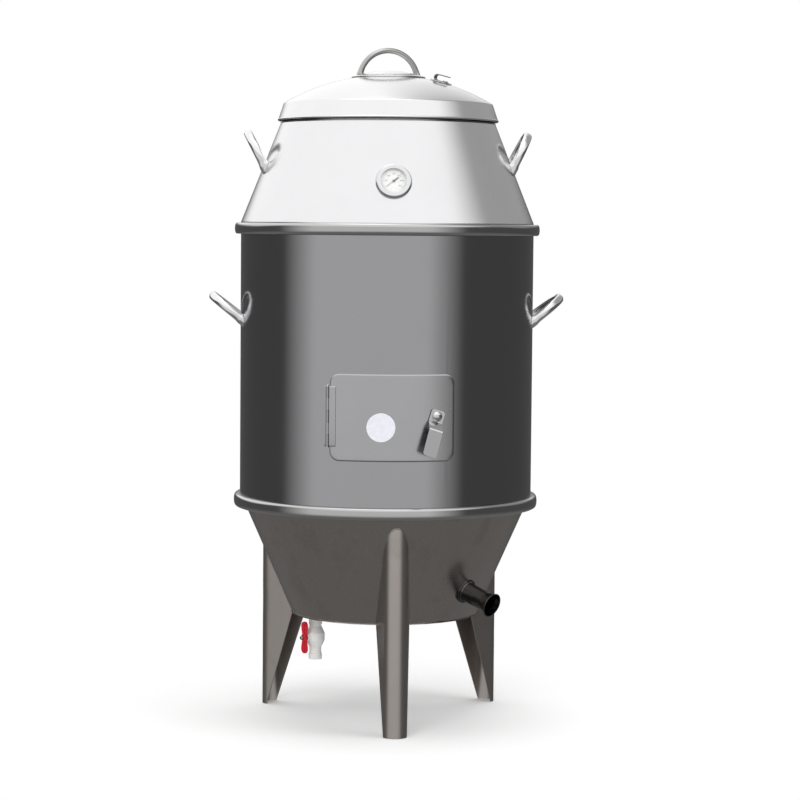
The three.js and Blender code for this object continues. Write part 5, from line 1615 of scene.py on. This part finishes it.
@dataclass(frozen=True)
class Thermometer:
    """The dial on the hood: a case with a bezel, a printed dial, a needle and a flat glass."""

    height: float = 1205.0
    radius: float = 39.5
    flange: float = 3.0
    shoulder: float = 36.8
    bezel: float = 9.0
    window: float = 27.5
    glass_seat: float = 5.3
    glass_wall: float = 1.5
    well: float = 26.0
    floor: float = 2.0
    hole: float = 5.3
    dial: float = 25.4
    dial_wall: float = 0.8
    needle_turn: float = 128.0
    needle_length: float = 20.0
    needle_tail: float = 13.0
    needle_half: float = 1.6
    needle_lift: float = 0.6
    needle_pin: float = 1.2
    needle_ends: Pair = (0.3, 0.9)
    hub: float = 3.0
    hub_height: float = 1.2
    ticks: int = 30
    tick_sweep: float = 256.0
    tick_end: float = 24.4
    tick: Pair = (22.4, 0.18)
    long_tick: Pair = (20.6, 0.35)
    ink: float = 0.1
    number_step: int = 50
    number_count: int = 7
    number_size: float = 4.8
    number_reach: float = 16.6
    sides: int = 96

    @property
    def place(self) -> Frame:
        """The frame on the hood's cone, square to it."""
        rise = degrees(atan(-HOOD_WALL.slope))
        return HOOD_WALL.place(0.0, self.height, rise)

    def case(self) -> Surface:
        """Turn the case; the rows of its underside follow the cone instead of a level."""
        bezel = filleted([
            [self.radius, 0.0], [self.radius, self.flange], [self.shoulder, self.bezel],
            [self.window, self.bezel], [self.window, self.glass_seat],
        ], [1.4, 2.5, 1.0], 6)
        rows = joined(bezel[1:], [self.well, self.glass_seat], [self.well, self.floor],
                      [self.hole, self.floor])
        under = np.array([self.hole, 14.0, 22.0, 31.0, self.radius])[:, None]
        level = np.broadcast_to(rows[:, 1:], (len(rows), self.sides))
        level = joined(level, seat(self.place, under, self.sides, HOOD_WALL))
        radius = joined(rows[:, :1], under)
        return lofted(self.place.around(radius, circle(self.sides), level), Ends.JOINED)

    def disc(self, radius: float, low: float, wall: float, bore: float = 0.0) -> Surface:
        """Turn a flat disc with a hole in its middle."""
        return turned(slab(bore, radius, low, low + wall), self.place, self.sides)

    def angle_at(self, share: float) -> float:
        """Return the direction of a share of the scale, clockwise from its cold end, in radians."""
        return radians(90.0 + self.tick_sweep / 2.0 - self.tick_sweep * share)

    def marks(self) -> list[Surface]:
        """Draw the scale's bars, each fifth one longer, and the numbers inside them."""
        low = self.floor + SEAT_GAP + self.dial_wall
        bars = []
        for step in range(self.ticks + 1):
            turn = degrees(self.angle_at(step / self.ticks))
            inner, half = self.tick if step % 5 else self.long_tick
            bar = slab(inner, self.tick_end, -half, half)
            bars.append(prism(bar, low, low + self.ink, self.place.rolled(turn)))
        return bars + [self.number(i, low) for i in range(self.number_count)]

    def number(self, index: int, low: float) -> Surface:
        """Set one number of the scale upright at its place, in Blender's own letter shapes."""
        text = bpy.data.curves.new("number", "FONT")
        text.body, text.size = str(index * self.number_step), self.number_size
        text.extrude = self.ink / 2.0
        text.align_x, text.align_y, text.resolution_u = "CENTER", "CENTER", 3
        holder = bpy.data.objects.new("number", text)
        bpy.context.scene.collection.objects.link(holder)
        bpy.context.view_layer.update()
        seen = holder.evaluated_get(bpy.context.evaluated_depsgraph_get())
        mesh = bpy.data.meshes.new_from_object(seen)
        flat = np.empty(len(mesh.vertices) * 3)
        mesh.vertices.foreach_get("co", flat)
        flat = flat.reshape(-1, 3)
        faces = [np.array([polygon.vertices[:]]) for polygon in mesh.polygons]
        bpy.data.objects.remove(holder)
        angle = self.angle_at(index / (self.number_count - 1))
        x, y, out = (flat + [self.number_reach * np.cos(angle), self.number_reach * np.sin(angle),
                             low + self.ink / 2.0]).T
        return Surface(self.place.at(x, y, out), faces)

    def needle(self) -> list[Surface]:
        """Return the arrow, its counterweight and the round hub on its pin."""
        place = self.place.rolled(self.needle_turn)
        foot, pin = self.floor + SEAT_GAP, self.needle_pin
        low = foot + self.dial_wall + self.needle_lift
        top = low + self.hub_height
        half, tail = self.needle_half, self.needle_tail
        side = np.array([[half * 0.8, -tail], [half, -tail + 1.5], [half, -2.0], [0.5, 1.0],
                         [0.15, self.needle_length]])
        arrow = joined(side, side[::-1] * [-1.0, 1.0])
        hub = [
            [0.0, foot], [pin, foot], [pin, low], [self.hub, low], [self.hub, top - 0.4],
            [self.hub - 0.6, top], [0.0, top],
        ]
        under, over = self.needle_ends
        return [prism(arrow, low + under, low + over, place), turned(hub, place, 40)]

    def build(self) -> None:
        """Place the thermometer's pieces."""
        Piece("thermometer_case", [self.case()], "hood", "hood_steel", FITTING_STEEL,
              ("gauge_case",)).place()
        low = self.floor + SEAT_GAP
        dial = self.disc(self.dial, low, self.dial_wall, 1.5)
        Piece("thermometer_dial", [dial], "hood", "white_paint", DIAL_WHITE,
              ("gauge_dial",)).place()
        Piece("thermometer_scale", self.marks(), "hood", "black_paint", DIAL_BLACK).place()
        Piece("thermometer_needle", self.needle(), "needle", "black_paint", DIAL_BLACK,
              ("gauge_needle",)).place()
        glass = self.disc(self.window - SEAT_GAP, self.glass_seat + SEAT_GAP, self.glass_wall)
        Piece("thermometer_glass", [glass], "hood", "glass", GLASS, ("gauge_glass",)).place()
        dress(BRASS, "gauge_probe", "gauge_nut")


@dataclass(frozen=True)
class Hood:
    """The cone over the barrel, the neck that carries the lid, two handles and the thermometer."""

    skirt: float = 1091.9
    bend: float = 5.0
    neck: float = 236.0
    neck_low: float = 1338.2
    neck_top: float = 1373.3
    neck_bend: float = 1.2
    handle_height: float = 1245.0
    handle_tilt: float = 63.0
    handle_reach: float = 79.9
    dial: Thermometer = Thermometer()

    def sheet(self) -> Surface:
        """Turn the skirt and the cone, with a small bend between them."""
        wall = HOOD_WALL
        line = filleted([
            [wall.radius_low, self.skirt], [wall.radius_low, wall.low],
            [wall.radius_high, wall.high],
        ], self.bend, 6)
        return turned(walled(resampled_keeping(line, 24), SHEET))

    def neck_surface(self) -> Surface:
        """Turn the neck: a flange on the cone's top edge and a collar with a soft rim."""
        inner, flange, half = self.neck - SHEET, self.neck_low + SHEET, SHEET / 2.0
        bend = filleted([
            [HOOD_WALL.radius_high, flange], [self.neck, flange], [self.neck, self.neck_top],
        ], self.neck_bend, 5)
        rim = arc((self.neck - half, self.neck_top - half), (half, half), 0.0, 180.0, 6)
        return turned(joined([inner, self.neck_low], [HOOD_WALL.radius_high, self.neck_low],
                             bend[:-1], rim))

    def build(self) -> None:
        """Place the hood's pieces."""
        Piece("hood_cone_sheet", [self.sheet()], "hood", "hood_steel", HOOD_STEEL_PAINTED_BRIGHT, ("hood_cone",),
              [bored(self.dial.place, self.dial.hole, 40)]).place()
        Piece("hood_neck_collar", [self.neck_surface()], "hood", "hood_steel", RING_STEEL,
              tuple(f"hood_neck_{i}" for i in range(1, 5))).place()
        side_handles("hood", HOOD_WALL, self.handle_height, self.handle_tilt, self.handle_reach)
        self.dial.build()


# Lid


@dataclass(frozen=True)
class Vent:
    """The turning cover over the hole in the lid's slope, with a folded tab for the finger."""

    azimuth: float = 71.0
    reach: float = 122.0
    cover: float = 25.0
    ear: float = 9.0
    pivot: float = 34.0
    tab_width: float = 20.0
    tab_length: float = 32.0
    tab_rise: float = 15.0
    hole: float = 16.0
    rivet: float = 3.3
    bevel: float = 0.3
    sides: int = 64

    def rivet_hole(self, place: Frame) -> tuple[Cut, Surface]:
        """Return the hole that the lid and the cover have for the rivet."""
        return bored(place.moved(self.pivot), self.rivet, self.sides)

    def build(self, place: Frame) -> None:
        """Place the cover, its tab and its rivet on the lid's slope."""
        swing = degrees(acos((self.cover - self.ear) / self.pivot))
        outline = joined(
            arc((0.0, 0.0), (self.cover, self.cover), swing, 360.0 - swing, 48),
            arc((self.pivot, 0.0), (self.ear, self.ear), -swing, swing, 20),
        )
        low, high = SEAT_GAP, SEAT_GAP + SHEET
        plate = prism(outline, low, high, place)
        fold = self.tab_rise / 2.0
        middle = high - SHEET / 2.0 + fold
        bend = arc((self.tab_length / 2.0 - fold, middle), (fold, fold), -90.0, 90.0, 14)
        end, half = -self.tab_length / 2.0, self.tab_width / 2.0
        line = joined([end, middle - fold], bend, [end, middle + fold])
        tab = prism(walled(line, SHEET), -half, half, place.side_on())
        Piece("vent_cover_plate", [plate], "vent", "hood_steel", LID_STEEL_PAINTED_BRIGHT, ("vent_cover",),
              [self.rivet_hole(place)], self.bevel).place()
        Piece("vent_tab_strip", [tab], "vent", "hood_steel", TAB_STEEL, bevel=self.bevel).place()
        dress(FITTING_STEEL, "vent_rivet")


@dataclass(frozen=True)
class Lid:
    """The domed lid: a band with a rolled rim, a raised cap, an arched handle and the vent."""

    rim: float = 246.0
    bottom: float = 1343.7
    bead: float = 2.5
    knee: float = 235.0
    knee_height: float = 1383.7
    knee_bend: float = 5.0
    dome: float = 460.0
    mouth: float = 70.0
    cap: float = 83.0
    cap_foot: float = 1441.02
    cap_shoulder: float = 1443.52
    cap_rise: float = 12.0
    cap_edge: float = 2.0
    cap_fillet: float = 1.2
    roll_end: float = 70.0
    handle_span: float = 67.0
    handle_middle: float = 1436.3
    handle_turn: float = 12.0
    vent: Vent = Vent()

    @property
    def dome_centre(self) -> float:
        """The height of the dome's centre of curvature."""
        return self.knee_height - float(np.sqrt(self.dome ** 2 - self.knee ** 2))

    @property
    def cap_sphere(self) -> Pair:
        """The cap's radius of curvature and the height of its centre."""
        half = self.cap - 2.0 * self.cap_edge
        radius = (half ** 2 + self.cap_rise ** 2) / (2.0 * self.cap_rise)
        return radius, self.cap_shoulder + self.cap_edge + self.cap_rise - radius

    def crown(self, radius: Array) -> Array:
        """Return points of the dome: height = centre + sqrt(curvature squared - radius squared)."""
        return np.stack([radius, self.dome_centre + np.sqrt(self.dome ** 2 - radius ** 2)], axis=-1)

    def shell(self) -> Surface:
        """Turn the rolled rim, the band, the knee and the dome up to the mouth under the cap."""
        centre, reach = (self.rim, self.bottom + self.bead), (self.bead, self.bead)
        roll = arc(centre, reach, -90.0, self.roll_end, 10)
        dome = self.crown(np.linspace(self.knee, self.mouth, 42))
        corner = joined(roll[-1], [self.knee, self.knee_height], dome[4])
        knee = filleted(corner, self.knee_bend, 8)
        band = np.linspace(knee[0], knee[1], 6)[:-1]
        return turned(walled(joined(roll[:-1], band, knee[1:-1], dome[4:]), SHEET))

    def cap_line(self) -> Array:
        """Return the cap's outer line, from its foot over a round edge to the middle."""
        radius, centre = self.cap_sphere
        reach = np.linspace(self.cap - 3.0, 0.0, 22)
        top = np.stack([reach, centre + np.sqrt(radius ** 2 - reach ** 2)], axis=-1)
        edge = [[self.cap, self.cap_foot], [self.cap, top[0, 1] - 1.3], top[0]]
        return joined(filleted(edge, self.cap_fillet, 6)[:-1], top)

    def over_cap(self, points: Array) -> Array:
        """Return how far points lie over the cap and the gap that its handle keeps."""
        radius, centre = self.cap_sphere
        reach = np.minimum(np.hypot(points[..., 0], points[..., 1]), self.cap)
        return points[..., 2] - centre - np.sqrt(radius ** 2 - reach ** 2) - SEAT_GAP

    def build(self) -> None:
        """Place the lid's pieces."""
        vent = self.vent
        rise = degrees(acos(vent.reach / self.dome))
        height = float(self.crown(np.array([vent.reach]))[0, 1])
        place = Frame.on_wall(vent.azimuth, vent.reach, height, rise)
        holes = [bored(place, vent.hole, vent.sides), vent.rivet_hole(place)]
        Piece("lid_shell_dome", [self.shell()], "lid", "hood_steel", LID_STEEL_PAINTED_BRIGHT,
              ("lid_band", "lid_dome"), holes).place()
        cap = turned(walled(self.cap_line(), SHEET))
        Piece("lid_cap_plate", [cap], "lid", "hood_steel", LID_STEEL_PAINTED_BRIGHT, ("lid_cap",)).place()
        stand = Frame.upright(z=self.handle_middle, turn=self.handle_turn)
        arch = ArchedHandle(stand, self.handle_span).surface(self.over_cap)
        Piece("lid_handle_rod", [arch], "lid", "hood_steel", ARCH_STEEL, ("lid_handle",)).place()
        vent.build(place)


class FireBox:
    """What stands inside the base: the charcoal pot, its grate and the grease pan round it."""

    def build(self) -> None:
        """Dress the pieces that keep their shape from the frame."""
        dress(FIRE_IRON, "firepot", "fire_grate")
        dress(PAN_STEEL, "grease_pan")


# Studio

@dataclass(frozen=True)
class Room:
    """The room round the oven: white where the camera looks, banded where the steel mirrors it.

    A band is an azimuth and the brightness there. The bands are a plain studio's: a wide
    soft light in front and a ceiling light, with the right side and the back kept dark.
    """

    horizon: tuple[Pair, ...]
    overhead: tuple[Pair, ...]
    ground: tuple[Pair, ...]
    ambient: float = 0.55
    ground_edge: Pair = (-0.28, 0.28)
    overhead_edge: Pair = (0.36, 0.18)
    back_edge: Pair = (0.2, 0.8)
    back_drop: float = 0.21
    zenith_edge: Pair = (0.9, 0.14)
    zenith_gain: float = 0.9

    @staticmethod
    def stop(azimuth: float, level: float) -> tuple[float, Colour]:
        """Return a ramp's stop: an azimuth, counted from the back, becomes a share of the round."""
        return (azimuth + 180.0) / 360.0, (level,) * 3

    def build(self, world: bpy.types.World) -> None:
        """Fill the world's node tree.

        A direction's azimuth is atan2(x, -y) and its rise is z, the sine of its height. The three
        ramps over the azimuth blend with smooth steps: ground to horizon to overhead. Behind the
        oven the overhead bands reach further down, and straight above it is brighter still.
        """
        world.use_nodes = True
        shader = Shader(world.node_tree)
        x, y, z = shader.parts(shader.node("ShaderNodeTexCoord").outputs["Generated"])
        round_share = shader.math("ARCTAN2", x, y * -1.0) / (2.0 * np.pi) + 0.5
        ground, horizon, overhead = [
            shader.node("ShaderNodeValToRGB", {"stops": [self.stop(*band) for band in bands]},
                        {"Fac": round_share}).outputs["Color"]
            for bands in (self.ground, self.horizon, self.overhead)]
        mirrored = shader.mix(z.above(*self.ground_edge), ground, horizon)
        lowered = z + y.above(*self.back_edge) * self.back_drop
        mirrored = shader.mix(lowered.above(*self.overhead_edge), mirrored, overhead)
        strength = z.above(*self.zenith_edge) * self.zenith_gain + 1.0
        plain, mirror, seen = [
            shader.shine("ShaderNodeBackground", colour, power)
            for colour, power in (((self.ambient,) * 3, 1.0), (mirrored, strength), (WHOLE, 1.0))]
        direct = shader.math("MAXIMUM", shader.light_path("Is Camera Ray"),
                             shader.light_path("Is Transmission Ray"))
        room = shader.blend(shader.light_path("Is Glossy Ray"), plain, mirror)
        shader.node("ShaderNodeOutputWorld", {}, {"Surface": shader.blend(direct, room, seen)})
        world.cycles.sampling_method = "NONE"


@dataclass(frozen=True)
class PaleFloor(Finish):
    """The studio's floor: white with a faint grain, and plain white where it is seen far out."""

    colour: Colour = (0.86, 0.86, 0.86)
    lift: float = 0.16
    fade: Pair = (0.75, 0.9)

    def dress(self, shader: Shader) -> None:
        """Add light that camera rays alone see: a little at the feet, where the shadow stays, and
        full white outside a circle round the oven.
        """
        grain = shader.noise(3.0, 3.0, 0.5)
        colour = shader.mix(grain, scaled(self.colour, 0.985), self.colour)
        x, y, _ = shader.parts(shader.coordinates())
        seen = shader.light_path("Is Camera Ray")
        far = ((x * x + y * y) ** 0.5).above(*self.fade) * seen
        plain = shader.node("ShaderNodeBsdfDiffuse", {}, {"Color": colour}).outputs[0]
        lift = shader.shine("ShaderNodeEmission", WHOLE, seen * self.lift)
        near = shader.node("ShaderNodeAddShader", {}, {0: plain, 1: lift}).outputs[0]
        white = shader.shine("ShaderNodeEmission", WHOLE)
        shader.node("ShaderNodeOutputMaterial", {}, {"Surface": shader.blend(far, near, white)})


@dataclass(frozen=True)
class SoftLamp:
    """A large square lamp that the steel doesn't mirror: its place, in metres, and its power."""

    name: str
    place: tuple[float, float, float]
    size: float
    power: float

    def build(self) -> None:
        """Hang the lamp and turn it towards the oven's middle."""
        data = bpy.data.lights.new(self.name, "AREA")
        data.energy, data.size = self.power, self.size
        lamp = bpy.data.objects.new(self.name, data)
        lamp.location = self.place
        way = Vector(OVEN_MIDDLE) - Vector(self.place)
        lamp.rotation_euler = way.to_track_quat("-Z", "Y").to_euler()
        lamp.visible_glossy = False
        bpy.context.scene.collection.objects.link(lamp)


@dataclass(frozen=True)
class Camera:
    """The photograph's viewpoint, fitted to the oven's outline."""

    lens: float = 116.6
    azimuth: float = -2.5
    distance: float = 5863.8
    height: float = 1114.0
    pitch: float = -3.879
    yaw: float = -2.81
    roll: float = 0.48
    sensor: float = 36.0
    sight: float = 60.0

    def build(self) -> None:
        """Set the camera up and make it the scene's."""
        data = bpy.data.cameras.new("camera")
        data.lens, data.sensor_width, data.clip_end = self.lens, self.sensor, self.sight
        camera = bpy.data.objects.new("camera", data)
        bpy.context.scene.collection.objects.link(camera)
        place = Frame.on_wall(self.azimuth, self.distance, self.height).origin * MM + AXIS
        pose = Matrix.Translation(place)
        for angle, axis in ((self.yaw, "Z"), (90.0 + self.pitch, "X"), (self.roll, "Z")):
            pose = pose @ Matrix.Rotation(radians(angle), 4, axis)
        camera.matrix_world = pose
        bpy.context.scene.camera = camera


@dataclass(frozen=True)
class Studio:
    """The floor, the room, the lamps and the camera."""

    room: Room
    lamps: tuple[SoftLamp, ...]
    floor_drop: float = 0.0006
    floor_size: float = 30.0
    camera: Camera = Camera()

    def build(self) -> None:
        """Build the studio round the oven."""
        scene = bpy.context.scene
        scene.view_settings.view_transform = "Standard"
        scene.world = bpy.data.worlds.new("room")
        self.room.build(scene.world)
        half = self.floor_size / 2.0
        corners = [(-half, -half), (half, -half), (half, half), (-half, half)]
        mesh = bpy.data.meshes.new("floor")
        mesh.from_pydata([(x, y, -self.floor_drop) for x, y in corners], [], [(0, 1, 2, 3)])
        floor = bpy.data.objects.new("floor", mesh)
        floor.data.materials.append(material_of(PaleFloor("pale_floor")))
        floor.visible_glossy = False
        scene.collection.objects.link(floor)
        for lamp in self.lamps:
            lamp.build()
        self.camera.build()


ROOM = Room(
    horizon=((-180.0, 0.1), (-90.0, 0.1), (-60.0, 0.8), (30.0, 0.8), (60.0, 0.1), (180.0, 0.1)),
    overhead=((-180.0, 1.2), (60.0, 1.2), (90.0, 0.4), (150.0, 0.4), (180.0, 1.2)),
    ground=((-180.0, 0.2), (180.0, 0.2)),
)

LAMPS = (
    SoftLamp("front_lamp", (-1.5, -4.5, 3.6), 3.0, 110.0),
    SoftLamp("side_lamp", (3.8, -2.0, 2.8), 2.5, 55.0),
    SoftLamp("top_lamp", (0.0, 0.6, 4.5), 3.5, 92.0),
)


def main() -> None:
    """Build the oven from the floor up, and then the studio."""
    logging.basicConfig(level=logging.INFO, format="%(name)s %(message)s")
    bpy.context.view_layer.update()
    for part in (Stand(), DrainValve(), FireBox(), Barrel(), FuelDoor(), Hood(), Lid()):
        LOG.info("building %s", type(part).__name__)
        part.build()
    Studio(ROOM, LAMPS).build()
    bpy.context.view_layer.update()


if __name__ == "__main__":
    main()
